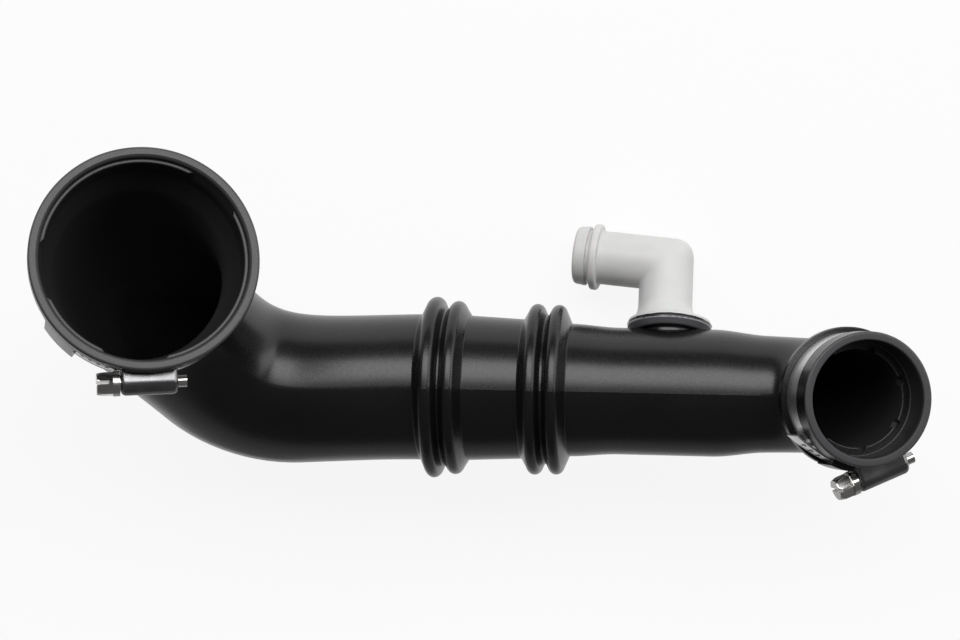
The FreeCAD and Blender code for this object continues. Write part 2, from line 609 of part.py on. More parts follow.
def clamp_screw(seat_r):
    """Worm screw: slotted hexagon head, collar, neck, worm and tip on one axis."""
    axis_r = seat_r + BAND_STACK + SCREW_HEIGHT
    axis = frame_at(Vec(axis_r, 0, 0), Y_AXIS, X_AXIS)
    half = HOUSING_LENGTH / 2
    inside = half - HOUSING_END_WALL
    collar_start = -half - SCREW_END_PLAY - SCREW_COLLAR_LENGTH
    head_start = collar_start - SCREW_HEX_LENGTH
    corner_r = SCREW_HEX_FLATS / math.sqrt(3)
    corners = [Vec(corner_r * math.cos(math.radians(60 * k)), corner_r * math.sin(math.radians(60 * k)),
                   head_start) for k in range(7)]
    hexagon = Part.Face(Part.makePolygon(corners)).extrude(Vec(0, 0, SCREW_HEX_LENGTH))
    crown = Part.makeCone(corner_r * SCREW_CROWN[0], corner_r * SCREW_CROWN[1], SCREW_HEX_LENGTH,
                          Vec(0, 0, head_start))
    slot = Part.makeBox(4 * corner_r, SCREW_SLOT_WIDTH, SCREW_SLOT_DEPTH,
                        Vec(-2 * corner_r, -SCREW_SLOT_WIDTH / 2, head_start))
    head = hexagon.common(crown).cut(slot)
    head.rotate(ORIGIN, Z_AXIS, SCREW_HEAD_TURN)
    head.Placement = axis.multiply(head.Placement)
    screw = cylinder(SCREW_WORM_R + SCREW_COLLAR_RISE, collar_start, -half - SCREW_END_PLAY, axis).fuse(head)
    tip_end = half + SCREW_TIP_LENGTH
    for radius, start, end in ((SCREW_NECK_R, -half - SCREW_END_PLAY - SCREW_JOIN, -inside + SCREW_JOIN),
                               (SCREW_WORM_R, -inside + SCREW_END_PLAY, inside - SCREW_END_PLAY),
                               (SCREW_TIP_R, inside - SCREW_JOIN, tip_end)):
        screw = screw.fuse(cylinder(radius, start, end, axis))
    return screw.removeSplitter()


def clamp_nodes(name, mouth, depth, angle, seat_r, doubled, tail_angle, tail_length):
    """The three pieces of one clamp, placed round a cuff."""
    turn = FreeCAD.Rotation(Z_AXIS, angle)
    place = mouth.multiply(FreeCAD.Placement(Vec(0, 0, -depth), turn))
    pieces = {
        name + "_clamp_band": clamp_band(seat_r, doubled, tail_angle, tail_length),
        name + "_clamp_housing": clamp_housing(seat_r),
        name + "_clamp_screw": clamp_screw(seat_r),
    }
    for shape in pieces.values():
        shape.Placement = place.multiply(shape.Placement)
    return pieces


def all_nodes():
    """Every piece by its node name, in the drawing's frame."""
    nodes = {"intake_hose": intake_hose(), "breather_elbow": breather_elbow()}
    nodes.update(clamp_nodes("large", LARGE_FRAME, LARGE_BAND_DEPTH, LARGE_CLAMP_ANGLE, LARGE_SEAT_R,
                             LARGE_DOUBLED_ANGLE, LARGE_TAIL_ANGLE, LARGE_TAIL_LENGTH))
    nodes.update(clamp_nodes("small", SMALL_FRAME, SMALL_BAND_DEPTH, SMALL_CLAMP_ANGLE, SMALL_SEAT_R,
                             SMALL_DOUBLED_ANGLE, SMALL_TAIL_ANGLE, SMALL_TAIL_LENGTH))
    return nodes


def rest_placement(nodes):
    """Turn into the rest pose, and shift that puts the middle of the underside at the origin."""
    turn = FreeCAD.Rotation(Y_AXIS, REST_PITCH).multiply(FreeCAD.Rotation(X_AXIS, REST_ROLL))
    place = FreeCAD.Placement(ORIGIN, turn)
    box = FreeCAD.BoundBox()
    for shape in nodes.values():
        turned = shape.copy()
        turned.Placement = place.multiply(shape.Placement)
        box.add(turned.optimalBoundingBox())
    return FreeCAD.Placement(Vec(-box.Center.x, -box.Center.y, -box.ZMin), turn)


def main():
    nodes = all_nodes()
    place = rest_placement(nodes)
    os.makedirs("parts", exist_ok=True)
    for name, shape in nodes.items():
        shape.Placement = place.multiply(shape.Placement)
        shape.exportStep("parts/" + name + ".step")


main()
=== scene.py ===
"""Air intake hose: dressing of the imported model, studio floor, light and camera.

Shapes are drawn in millimetres in the drawing frame, with the straight tube's axis on X and
both mouths facing +Z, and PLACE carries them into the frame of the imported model, in metres.
"""
import math

import bmesh
import bpy
from mathutils import Matrix, Vector


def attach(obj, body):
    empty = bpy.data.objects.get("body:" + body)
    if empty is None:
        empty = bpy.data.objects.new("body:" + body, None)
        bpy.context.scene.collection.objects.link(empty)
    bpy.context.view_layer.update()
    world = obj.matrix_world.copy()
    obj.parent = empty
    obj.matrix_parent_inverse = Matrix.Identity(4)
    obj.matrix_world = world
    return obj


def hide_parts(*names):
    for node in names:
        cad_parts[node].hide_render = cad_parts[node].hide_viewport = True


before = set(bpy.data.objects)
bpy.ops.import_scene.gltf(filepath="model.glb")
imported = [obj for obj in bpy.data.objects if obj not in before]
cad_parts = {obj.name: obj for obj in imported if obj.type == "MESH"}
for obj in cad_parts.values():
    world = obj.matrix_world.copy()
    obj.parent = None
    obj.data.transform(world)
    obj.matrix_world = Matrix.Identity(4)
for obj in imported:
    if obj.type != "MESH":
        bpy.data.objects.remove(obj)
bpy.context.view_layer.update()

MM = 0.001
BODY = "hose_assembly"

# Rest pose of the drawing frame in the row frame
REST_ROLL = -10.16
REST_PITCH = -3.65
REST_SHIFT = (2.0343, -28.0816, 31.9308)
PLACE = (Matrix.Scale(MM, 4) @ Matrix.Translation(REST_SHIFT)
         @ Matrix.Rotation(math.radians(REST_PITCH), 4, "Y")
         @ Matrix.Rotation(math.radians(REST_ROLL), 4, "X"))

# Hose: route, wall and radii
WALL = 2.5
LARGE_MOUTH = Vector((-104.7, 41.0, 73.3))
LARGE_SWING = 14.5
LARGE_LEAN = 16.4
NECK_DROP = 40.3
NECK_CORNER_RADIUS = 36.5
HEEL_CORNER = Vector((-86.2, -3.4, -4.4))
HEEL_CORNER_RADIUS = 28.0
TUBE_START = Vector((-32.3, 0.0, 0.0))
TUBE_START_RADIUS = 250.0
TURN_CORNER = Vector((109.5, 0.0, 0.0))
TURN_CORNER_RADIUS = 27.0
SMALL_LEAN = 21.7
SMALL_REACH = 43.0
NECK_MID_R = 31.0
NECK_END_R = 26.8
HEEL_R = 24.8
TUBE_LEFT_R = 24.7
TUBE_MID_LEFT_R = 24.5
TUBE_MID_RIGHT_R = 23.6
TUBE_RIGHT_R = 22.4
TUBE_BOSS_R = 21.35
TURN_START_R = 19.6
TURN_END_R = 18.8
TAPER_END_X = 42.0
BOSS_END_X = 74.0
STATION = 2.6

# Easing of the heel's inner side: how far along, how often, and how far round the tube
HEEL_EASE_REACH = 22.0
HEEL_EASE_PASSES = 120
HEEL_EASE_CLEAR = 3.0
HEEL_EASE_SIDE = 0.35
HEEL_EASE_SPREAD = 0.9
HEEL_EASE_SHARE = 0.5

# Bellows
RIB_PAIR_CENTRES = (-16.45, 17.85)
RIB_PITCH = 7.3
RIB_CREST_R = ((30.7, 29.4), (28.9, 28.7))
RIB_CREST_ROUND = 2.3
RIB_CREST_RISE = 1.7
RIB_FOOT = 4.3
RIB_VALLEY_DEPTH = 4.6
RIB_FOOT_FILLET = 0.8
RIB_VALLEY_FILLET = 0.7
GROOVE_CREST_ROUND = 1.2
GROOVE_FOOT = 3.4
RIB_APPROACH = 2.0
CREST_STEPS = 5

# Cuffs
CUFF_WALL = 1.9
LARGE_BORE_R = 32.2
LARGE_BORE_DEPTH = 15.2
LARGE_RIM_R = 36.95
LARGE_RIM_DEPTH = 4.5
LARGE_BEAD_R = 35.3
LARGE_BEAD_WIDTH = 2.0
LARGE_NECK_STEP = 0.3
LARGE_LIP_STEP = 1.3
LARGE_LIP_DEPTH = 2.4
LARGE_LIP_GAP_STEP = 1.1
LARGE_LIP_GAP_DEPTH = 6.0
LARGE_LIP_GAPS = (-90.0, 50.0, 192.0)
LARGE_LIP_GAP_ANGLE = 35.0
SMALL_BORE_R = 18.9
SMALL_BORE_DEPTH = 10.5
SMALL_RIM_R = 21.85
SMALL_RIM_DEPTH = 8.2
SMALL_FLANGE_R = 23.2
SMALL_FLANGE_WIDTH = 3.2
SMALL_LIP_STEP = 0.4
SMALL_LIP_DEPTH = 1.0
SMALL_STOP_STEP = 3.0
SMALL_STOP_WIDTH = 2.6
SMALL_NOTCHES = 7
SMALL_NOTCH_START = -30.0
SMALL_NOTCH_ANGLE = 9.5
SMALL_NOTCH_DEPTH = 1.5
SEAT_LENGTH = 9.5
RIM_ROUND = 0.9
EDGE_ROUND = 0.45
BORE_EASE = 3.0
COLLAR_APPROACH = 1.2
STOP_APPROACH = 1.5
LIP_GAP_RUN = 2.0
LIP_GAP_ROUND = 0.2
LIP_GAP_NEAR = 0.1
LIP_GAP_FAR = 0.15
NOTCH_MARGIN = 0.01

# Mould's parting ridge along the tube
RIDGE_HEIGHT = 0.35
RIDGE_WIDTH = 4.0
RIDGE_CLEAR = 3.0
RIDGE_FADE = 12.0
RIDGE_CRISP_X = (-70.0, 92.0)
RIDGE_CRISP_R = 18.0
RIDGE_CRISP_SIDE = 0.02
RIDGE_CRISP_ALONG = 0.9

# Breather boss: its root ends in the tube's wall and stands about 1 mm into the duct
BOSS_X = 58.3
BOSS_LEAN = 16.8
BOSS_NECK_R = 9.9
BOSS_NECK_TOP = 20.2
BOSS_R = 14.2
BOSS_RIM = 1.2
BOSS_TOP = 23.4
BOSS_EDGE = 0.4
BOSS_HOLE_R = 7.4
BOSS_ROOT = 17.6
BOSS_NECK_ROUND = 0.8
BOSS_UNDER_ROUND = 0.3
BOSS_HOLE_OVER = 1.0

# Breather elbow
ELBOW_R = 9.15
ELBOW_BORE_R = 7.4
ELBOW_FLANGE_R = 14.0
ELBOW_FLANGE_RIM = 1.2
ELBOW_FLARE_HEIGHT = 5.6
ELBOW_LEG_SHIFT = -1.65
ELBOW_CORNER_HEIGHT = 45.1
ELBOW_CORNER_OUTER = 6.5
ELBOW_CORNER_INNER = 0.5
SPIGOT_RISE = 6.4
SPIGOT_SWING = 2.9
SPIGOT_LENGTH = 31.4
SPIGOT_COLLAR_R = 11.3
SPIGOT_COLLAR_START = 23.0
SPIGOT_COLLAR_END = 25.6
SPIGOT_BEAD_R = 10.2
SPIGOT_BEAD_START = 27.0
SPIGOT_EDGE = 0.8
SPIGOT_MOUTH_EDGE = 0.6
SPIGOT_FOOT_ROUND = 0.5
SPIGOT_GROOVE_ROUND = 0.3
SPIGOT_NOSE_TAPER = 0.5
SPIGOT_NOSE_ROUND = 1.2
SPIGOT_RUN_IN = 4.0
ELBOW_POINTS = 96
ELBOW_RIM_ROUNDS = (0.3, 0.5)
ELBOW_RIM_STEP = (1.0, 0.1)
ELBOW_FLARE_STEPS = 12
ELBOW_FLARE_FIRST = 3
ELBOW_CORNER_STEPS = 10
ELBOW_CORNER_POWER = 1.3
ELBOW_CORNER_RUN_OUT = 5.0
ELBOW_BORE_RUN_OUT = 6.0

# Clamps and the keepers moulded over their tails
BAND_STACK = 1.35
BAND_WIDTH = 9.0
KEEPER_CLEARANCE = 0.35
KEEPER_THICKNESS = 1.2
KEEPER_SIDE = 1.6
KEEPER_SUNK = 0.5
KEEPER_ROUND = 0.8
KEEPER_INNER_ROUND = 0.4
KEEPER_STEPS = 12
LARGE_CLAMP_ANGLE = -82.5
LARGE_KEEPER = (40.0, 60.0)
SMALL_CLAMP_ANGLE = -67.5
SMALL_KEEPER = (27.0, 47.0)

# Points round the hose and round turned tools
RING_POINTS = 160
TURNED_POINTS = 96
ON_AXIS = 1e-6

# Weld flash under the elbow's foot
FLASH_POINTS = 320
FLASH_R = 14.05
FLASH_SWING = 0.22
FLASH_THICK = 0.32
FLASH_THICK_SWING = 0.45
FLASH_RISE_SWING = 0.12
FLASH_NARROW = 0.8
FLASH_SIDES = 8
WAVE_COUNTS = (3, 5, 8, 13, 21, 34)
WAVE_SEEDS = {"reach": 1.3, "thick": 2.1, "rise": 0.7}

# Fillets of profiles: points, the half angle that counts as straight, and the most of a leg they take
FILLET_STEPS = 4
STRAIGHT_HALF = 88.0
FILLET_SHARE = 0.49

# Points nearer than this are one: in millimetres on drawn meshes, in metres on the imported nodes
WELD_REACH = 0.004
NODE_WELD_REACH = 2e-6
NODE_FLAT_ANGLE = 0.6

# Edges of the steel pieces sharper than this, in degrees, are rounded over by these widths
SHARP_ANGLE = 35.0
BAND_EDGE = 0.12
HOUSING_EDGE = 0.25
SCREW_EDGE = 0.2

# Angles at which smooth shading breaks, in degrees
SMOOTH_ANGLE = 40.0
HOSE_SMOOTH_ANGLE = 32.0
ELBOW_SMOOTH_ANGLE = 38.0
FLASH_SMOOTH_ANGLE = 80.0

X_AXIS = Vector((1, 0, 0))
Z_AXIS = Vector((0, 0, 1))


def direction(swing, lean):
    """Unit vector from +Z, swung about X towards +Y and leaning towards +X."""
    a = math.radians(swing)
    b = math.radians(lean)
    return Vector((math.sin(b), math.cos(b) * math.sin(a), math.cos(b) * math.cos(a)))


def frame_at(point, z_dir, x_hint):
    """Matrix whose Z runs along z_dir and whose X lies as near x_hint as it can."""
    z = z_dir.normalized()
    x = (x_hint - z * x_hint.dot(z)).normalized()
    y = z.cross(x)
    return Matrix(((x.x, y.x, z.x, point.x), (x.y, y.y, z.y, point.y),
                   (x.z, y.z, z.z, point.z), (0, 0, 0, 1)))


LARGE_AXIS = direction(LARGE_SWING, LARGE_LEAN)
SMALL_AXIS = direction(0.0, SMALL_LEAN)
SMALL_MOUTH = TURN_CORNER + SMALL_AXIS * SMALL_REACH
NECK_CORNER = LARGE_MOUTH - LARGE_AXIS * NECK_DROP
LARGE_FRAME = frame_at(LARGE_MOUTH, LARGE_AXIS, X_AXIS)
SMALL_FRAME = frame_at(SMALL_MOUTH, SMALL_AXIS, X_AXIS)
LARGE_SEAT_R = LARGE_BORE_R + CUFF_WALL
SMALL_SEAT_R = SMALL_BORE_R + CUFF_WALL
LARGE_BEAD_START = LARGE_RIM_DEPTH + SEAT_LENGTH
SMALL_FLANGE_START = SMALL_RIM_DEPTH + SEAT_LENGTH
LARGE_BAND_DEPTH = LARGE_RIM_DEPTH + SEAT_LENGTH / 2
SMALL_BAND_DEPTH = SMALL_RIM_DEPTH + SEAT_LENGTH / 2


# Helpers for meshes
def new_piece(name, mesh, body):
    """Object of a mesh drawn in the drawing frame, riding on a body."""
    piece = bpy.data.objects.new(name, mesh)
    bpy.context.scene.collection.objects.link(piece)
    mesh.transform(PLACE)
    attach(piece, body)
    return piece


def grid_mesh(name, rows, closed_rows, closed_columns):
    """Mesh of quads over rows of points; either direction may close on itself."""
    count = len(rows[0])
    points = [p for row in rows for p in row]
    faces = []
    for i in range(len(rows) if closed_rows else len(rows) - 1):
        low = i * count
        high = ((i + 1) % len(rows)) * count
        for j in range(count if closed_columns else count - 1):
            k = (j + 1) % count
            faces.append((low + j, low + k, high + k, high + j))
    mesh = bpy.data.meshes.new(name)
    mesh.from_pydata(points, [], faces)
    mesh.update()
    return mesh


def outward(mesh):
    """Turns every face of a closed mesh outwards."""
    bm = bmesh.new()
    bm.from_mesh(mesh)
    bmesh.ops.recalc_face_normals(bm, faces=bm.faces)
    bm.to_mesh(mesh)
    bm.free()


def shade(mesh, angle):
    """Smooth shading that breaks at edges sharper than the angle."""
    bm = bmesh.new()
    bm.from_mesh(mesh)
    limit = math.radians(angle)
    for face in bm.faces:
        face.smooth = True
    for edge in bm.edges:
        edge.smooth = len(edge.link_faces) == 2 and edge.calc_face_angle(0.0) < limit
    bm.to_mesh(mesh)
    bm.free()


def filleted(corners, steps=FILLET_STEPS):
    """Polyline through (a, b, radius) corners with each corner rounded to its radius."""
    out = []
    last = len(corners) - 1
    for i, (a, b, radius) in enumerate(corners):
        here = Vector((a, b))
        if i in (0, last) or radius <= 0:
            out.append(here)
            continue
        before = Vector(corners[i - 1][:2]) - here
        after = Vector(corners[i + 1][:2]) - here
        half = before.angle(after) / 2
        if half > math.radians(STRAIGHT_HALF):
            out.append(here)
            continue
        back = min(radius / math.tan(half), FILLET_SHARE * before.length, FILLET_SHARE * after.length)
        radius = back * math.tan(half)
        centre = here + (before.normalized() + after.normalized()).normalized() * (radius / math.sin(half))
        start = here + before.normalized() * back - centre
        end = here + after.normalized() * back - centre
        turn = start.angle_signed(end)
        for k in range(steps + 1):
            angle = -turn * k / steps
            c, s = math.cos(angle), math.sin(angle)
            out.append(centre + Vector((c * start.x - s * start.y, s * start.x + c * start.y)))
    return out


# Hose
class Route:
    """Straight legs joined by arcs tangent to them."""

    def __init__(self, corners, radii):
        self.stretches = []
        start = corners[0]
        for before, corner, after, radius in zip(corners, corners[1:], corners[2:], radii):
            d_in = (corner - before).normalized()
            d_out = (after - corner).normalized()
            turn = d_in.angle(d_out)
            setback = radius * math.tan(turn / 2)
            arc_start = corner - d_in * setback
            inward = (d_out - d_in * d_in.dot(d_out)).normalized()
            self.stretches.append((start, d_in, (arc_start - start).length, None, None))
            self.stretches.append((arc_start, d_in, radius * turn, inward, radius))
            start = corner + d_out * setback
        last = corners[-1] - start
        self.stretches.append((start, last.normalized(), last.length, None, None))
        self.ends = []
        total = 0.0
        for stretch in self.stretches:
            total += stretch[2]
            self.ends.append(total)
        self.length = total

    def at(self, distance):
        """Point and heading at a distance along the route."""
        i = 0
        while i < len(self.ends) - 1 and distance > self.ends[i]:
            i += 1
        start, heading, length, inward, radius = self.stretches[i]
        distance -= self.ends[i] - length
        if inward is None:
            return start + heading * distance, heading
        angle = distance / radius
        point = start + heading * (radius * math.sin(angle)) + inward * (radius * (1 - math.cos(angle)))
        return point, heading * math.cos(angle) + inward * math.sin(angle)


def smooth_value(knots, x):
    """Cubic through (distance, value) knots, flat where the values turn back."""
    slopes = [0.0]
    for (x0, y0), (x1, y1), (x2, y2) in zip(knots, knots[1:], knots[2:]):
        left = (y1 - y0) / (x1 - x0)
        right = (y2 - y1) / (x2 - x1)
        slopes.append(0.0 if left * right <= 0 else 2 * left * right / (left + right))
    slopes.append(0.0)
    i = max(k for k in range(len(knots) - 1) if x >= knots[k][0] or k == 0)
    (x0, y0), (x1, y1) = knots[i], knots[i + 1]
    h = x1 - x0
    t = min(max((x - x0) / h, 0.0), 1.0)
    rise = y0 * (1 + 2 * t) * (1 - t) ** 2 + y1 * t * t * (3 - 2 * t)
    return rise + h * t * (1 - t) * (slopes[i] * (1 - t) - slopes[i + 1] * t)


route = Route([LARGE_MOUTH, NECK_CORNER, HEEL_CORNER, TUBE_START, TURN_CORNER, SMALL_MOUTH],
              [NECK_CORNER_RADIUS, HEEL_CORNER_RADIUS, TUBE_START_RADIUS, TURN_CORNER_RADIUS])
TUBE_ORIGIN = route.ends[6] - route.stretches[6][2] - route.stretches[6][0].x
LEFT_START = LARGE_BEAD_START + LARGE_BEAD_WIDTH / 2
ENDS = route.ends
FIRST_RIB = TUBE_ORIGIN + RIB_PAIR_CENTRES[0] - RIB_PITCH / 2
LAST_RIB = TUBE_ORIGIN + RIB_PAIR_CENTRES[1] + RIB_PITCH / 2
LEFT_KNOTS = [(LEFT_START, LARGE_SEAT_R - LARGE_NECK_STEP), (ENDS[0], NECK_MID_R), (ENDS[1], NECK_END_R),
              ((ENDS[2] + ENDS[3]) / 2, HEEL_R), (ENDS[4], TUBE_LEFT_R), (FIRST_RIB, TUBE_LEFT_R)]
RIGHT_END = route.length - SMALL_FLANGE_START - SMALL_FLANGE_WIDTH / 2
RIGHT_KNOTS = [(LAST_RIB, TUBE_RIGHT_R), (LAST_RIB + RIB_FOOT, TUBE_RIGHT_R),
               (TUBE_ORIGIN + TAPER_END_X, TUBE_BOSS_R), (TUBE_ORIGIN + BOSS_END_X, TUBE_BOSS_R),
               (ENDS[6], TURN_START_R), (RIGHT_END, TURN_END_R)]


def stations(start, end, knots, shrink):
    """Smooth stretch of the profile between two distances."""
    count = max(2, round((end - start) / STATION))
    out = []
    for k in range(count + 1):
        s = start + (end - start) * k / count
        out.append((s, smooth_value(knots, s) - shrink, 0))
    return out


def rib_points(shrink, half, foot, fillet):
    """Profile of the four convolutions and the tapering tube between the pairs."""
    out = []
    tube_radii = ((TUBE_LEFT_R, TUBE_MID_LEFT_R), (TUBE_MID_RIGHT_R, TUBE_RIGHT_R))
    for middle, crests, (tube_in, tube_out) in zip(RIB_PAIR_CENTRES, RIB_CREST_R, tube_radii):
        middle += TUBE_ORIGIN
        valley = (middle, max(tube_in, crests[0] - RIB_VALLEY_DEPTH) - shrink, RIB_VALLEY_FILLET)
        out.append((middle - RIB_PITCH / 2 - foot, tube_in - shrink, fillet))
        for side, crest in zip((-1, 1), crests):
            centre = middle + side * RIB_PITCH / 2
            low = crest - shrink - RIB_CREST_RISE
            radius = (half ** 2 + RIB_CREST_RISE ** 2) / (2 * RIB_CREST_RISE)
            reach = math.asin(min(1.0, half / radius))
            for k in range(-CREST_STEPS, CREST_STEPS + 1):
                angle = reach * k / CREST_STEPS
                out.append((centre + radius * math.sin(angle),
                            low + RIB_CREST_RISE - radius * (1 - math.cos(angle)), 0))
            if side < 0:
                out.append(valley)
        out.append((middle + RIB_PITCH / 2 + foot, tube_out - shrink, fillet))
    return out


def outer_profile():
    """(distance, radius) of the hose's outside from the large mouth to the small one."""
    e = EDGE_ROUND
    bead_end = LARGE_BEAD_START + LARGE_BEAD_WIDTH
    flange_end = route.length - SMALL_FLANGE_START - SMALL_FLANGE_WIDTH
    flange_start = route.length - SMALL_FLANGE_START
    rim_start = route.length - SMALL_RIM_DEPTH
    corners = [(0, (LARGE_RIM_R + LARGE_BORE_R) / 2, 0), (0, LARGE_RIM_R, RIM_ROUND),
               (LARGE_RIM_DEPTH, LARGE_RIM_R, e), (LARGE_RIM_DEPTH, LARGE_SEAT_R, e),
               (LARGE_BEAD_START, LARGE_SEAT_R, e), (LARGE_BEAD_START, LARGE_BEAD_R, e),
               (bead_end, LARGE_BEAD_R, e), (bead_end, smooth_value(LEFT_KNOTS, bead_end), e)]
    corners += stations(bead_end + COLLAR_APPROACH, FIRST_RIB - RIB_FOOT - RIB_APPROACH, LEFT_KNOTS, 0.0)
    corners += rib_points(0.0, RIB_CREST_ROUND, RIB_FOOT, RIB_FOOT_FILLET)
    corners += stations(LAST_RIB + RIB_FOOT + RIB_APPROACH, flange_end - COLLAR_APPROACH, RIGHT_KNOTS, 0.0)
    corners += [(flange_end, smooth_value(RIGHT_KNOTS, flange_end), e), (flange_end, SMALL_FLANGE_R, e),
                (flange_start, SMALL_FLANGE_R, e), (flange_start, SMALL_SEAT_R, e),
                (rim_start, SMALL_SEAT_R, e), (rim_start, SMALL_RIM_R, e),
                (route.length, SMALL_RIM_R, RIM_ROUND),
                (route.length, (SMALL_RIM_R + SMALL_BORE_R) / 2, 0)]
    return filleted(corners)


def inner_profile():
    """(distance, radius) of the hose's inside from the small mouth back to the large one."""
    e = EDGE_ROUND
    end = route.length
    stop = end - SMALL_BORE_DEPTH
    stop_end = stop - SMALL_STOP_WIDTH
    corners = [(end, (SMALL_RIM_R + SMALL_BORE_R) / 2, 0), (end, SMALL_BORE_R + SMALL_LIP_STEP, e),
               (end - SMALL_LIP_DEPTH, SMALL_BORE_R, e), (end - SMALL_BORE_DEPTH / 2, SMALL_BORE_R, 0),
               (stop, SMALL_BORE_R, e), (stop, SMALL_BORE_R - SMALL_STOP_STEP, e),
               (stop_end, SMALL_BORE_R - SMALL_STOP_STEP, e),
               (stop_end, smooth_value(RIGHT_KNOTS, stop_end) - WALL, 0)]
    right = stations(LAST_RIB + GROOVE_FOOT + RIB_APPROACH, stop_end - STOP_APPROACH, RIGHT_KNOTS, WALL)
    corners += right[::-1]
    corners += rib_points(WALL, GROOVE_CREST_ROUND, GROOVE_FOOT, RIB_FOOT_FILLET)[::-1]
    left = stations(LARGE_BORE_DEPTH + BORE_EASE, FIRST_RIB - GROOVE_FOOT - RIB_APPROACH, LEFT_KNOTS, WALL)
    corners += left[::-1]
    lip = LARGE_BORE_R + LARGE_LIP_STEP
    corners += [(LARGE_BORE_DEPTH - BORE_EASE, LARGE_BORE_R, BORE_EASE),
                (LARGE_LIP_GAP_DEPTH + LIP_GAP_RUN, LARGE_BORE_R, 0),
                (LARGE_LIP_GAP_DEPTH, LARGE_BORE_R, LIP_GAP_ROUND), (LARGE_LIP_DEPTH, LARGE_BORE_R, e),
                (LARGE_LIP_DEPTH, lip, e), (RIM_ROUND, lip, e), (0, lip + RIM_ROUND, e),
                (0, (LARGE_RIM_R + LARGE_BORE_R) / 2, 0)]
    return filleted(corners)


def apart(bearing, other, whole=360.0):
    """Angle between two bearings that repeat after a whole turn, in degrees."""
    return abs((bearing - other + whole / 2) % whole - whole / 2)


def bearing_in(matrix, vector):
    """Bearing of a vector about a frame's Z, in degrees."""
    local = matrix.inverted().to_3x3() @ vector
    return math.degrees(math.atan2(local.y, local.x))


def carried_fronts(profile):
    """The front direction at each profile point, carried along without twist from +Z on the tube."""
    order = sorted(range(len(profile)), key=lambda i: profile[i].x)
    start = min(order, key=lambda i: abs(profile[i].x - TUBE_ORIGIN))
    middle = order.index(start)
    fronts = {}
    for chain in (order[middle:], order[middle::-1]):
        front = Z_AXIS.copy()
        heading = X_AXIS.copy()
        for i in chain:
            new_heading = route.at(min(max(profile[i].x, 0.0), route.length))[1]
            front = heading.rotation_difference(new_heading) @ front
            heading = new_heading
            fronts[i] = front.copy()
    return fronts


def inside_radius(s, radius, out):
    """Radius of the inside in one direction, with the lip's gaps and the stop ring's notches."""
    if LARGE_LIP_DEPTH - LIP_GAP_NEAR < s < LARGE_LIP_GAP_DEPTH - LIP_GAP_FAR:
        bearing = bearing_in(LARGE_FRAME, out)
        if any(apart(bearing, gap) < LARGE_LIP_GAP_ANGLE / 2 for gap in LARGE_LIP_GAPS):
            return max(radius, LARGE_BORE_R + LARGE_LIP_GAP_STEP)
    stop = route.length - s - SMALL_BORE_DEPTH
    if -NOTCH_MARGIN < stop < SMALL_STOP_WIDTH + NOTCH_MARGIN:
        bearing = bearing_in(SMALL_FRAME, out)
        notch = SMALL_BORE_R - SMALL_STOP_STEP + SMALL_NOTCH_DEPTH
        if apart(bearing, SMALL_NOTCH_START, 360 / SMALL_NOTCHES) < SMALL_NOTCH_ANGLE / 2:
            return max(radius, notch)
    return radius


def hose_rings():
    """Rings of points round the route, outside then inside, with the front of the tube as angle zero."""
    profile = outer_profile()
    outside = len(profile)
    profile = profile + inner_profile()[1:-1]
    fronts = carried_fronts(profile)
    ridge_from = LARGE_BEAD_START + LARGE_BEAD_WIDTH + RIDGE_CLEAR
    ridge_to = route.length - SMALL_FLANGE_START - SMALL_FLANGE_WIDTH - RIDGE_CLEAR
    rings = []
    for i, (s, radius) in enumerate(profile):
        point, heading = route.at(min(max(s, 0.0), route.length))
        front = fronts[i]
        side = heading.cross(front)
        fade = min(1.0, max(0.0, min(s - ridge_from, ridge_to - s) / RIDGE_FADE))
        ring = []
        for k in range(RING_POINTS):
            angle = 2 * math.pi * k / RING_POINTS
            out = front * math.cos(angle) + side * math.sin(angle)
            r = radius
            if i >= outside:
                r = inside_radius(s, radius, out)
            elif fade > 0:
                turn = abs(math.remainder(angle, math.pi))
                r += fade * RIDGE_HEIGHT * math.exp(-turn * radius / RIDGE_WIDTH)
            ring.append(point + out * r)
        rings.append(ring)
    ease_heel(rings, profile, outside)
    return rings


def ease_heel(rings, profile, outside):
    """Lets the outside flow round the inside of the heel bend in a wide curve."""
    low = ENDS[1] - HEEL_EASE_REACH
    high = min(ENDS[4] + HEEL_EASE_REACH, FIRST_RIB - RIB_FOOT - HEEL_EASE_CLEAR)
    rows = [i for i in range(outside) if low < profile[i].x < high]
    inward = (route.stretches[3][3] - route.stretches[3][1]).normalized()
    weights = {}
    for i in rows:
        s = profile[i].x
        fade = min(1.0, (s - low) / HEEL_EASE_REACH, (high - s) / HEEL_EASE_REACH)
        centre = route.at(s)[0]
        for k in range(RING_POINTS):
            facing = (rings[i][k] - centre).normalized().dot(inward)
            weights[i, k] = fade * min(1.0, max(0.0, (facing + HEEL_EASE_SIDE) / HEEL_EASE_SPREAD))
    for _ in range(HEEL_EASE_PASSES):
        for k in range(RING_POINTS):
            moved = []
            for i in rows:
                share = HEEL_EASE_SHARE * weights[i, k]
                moved.append(rings[i][k].lerp((rings[i - 1][k] + rings[i + 1][k]) / 2, share))
            for i, point in zip(rows, moved):
                rings[i][k] = point


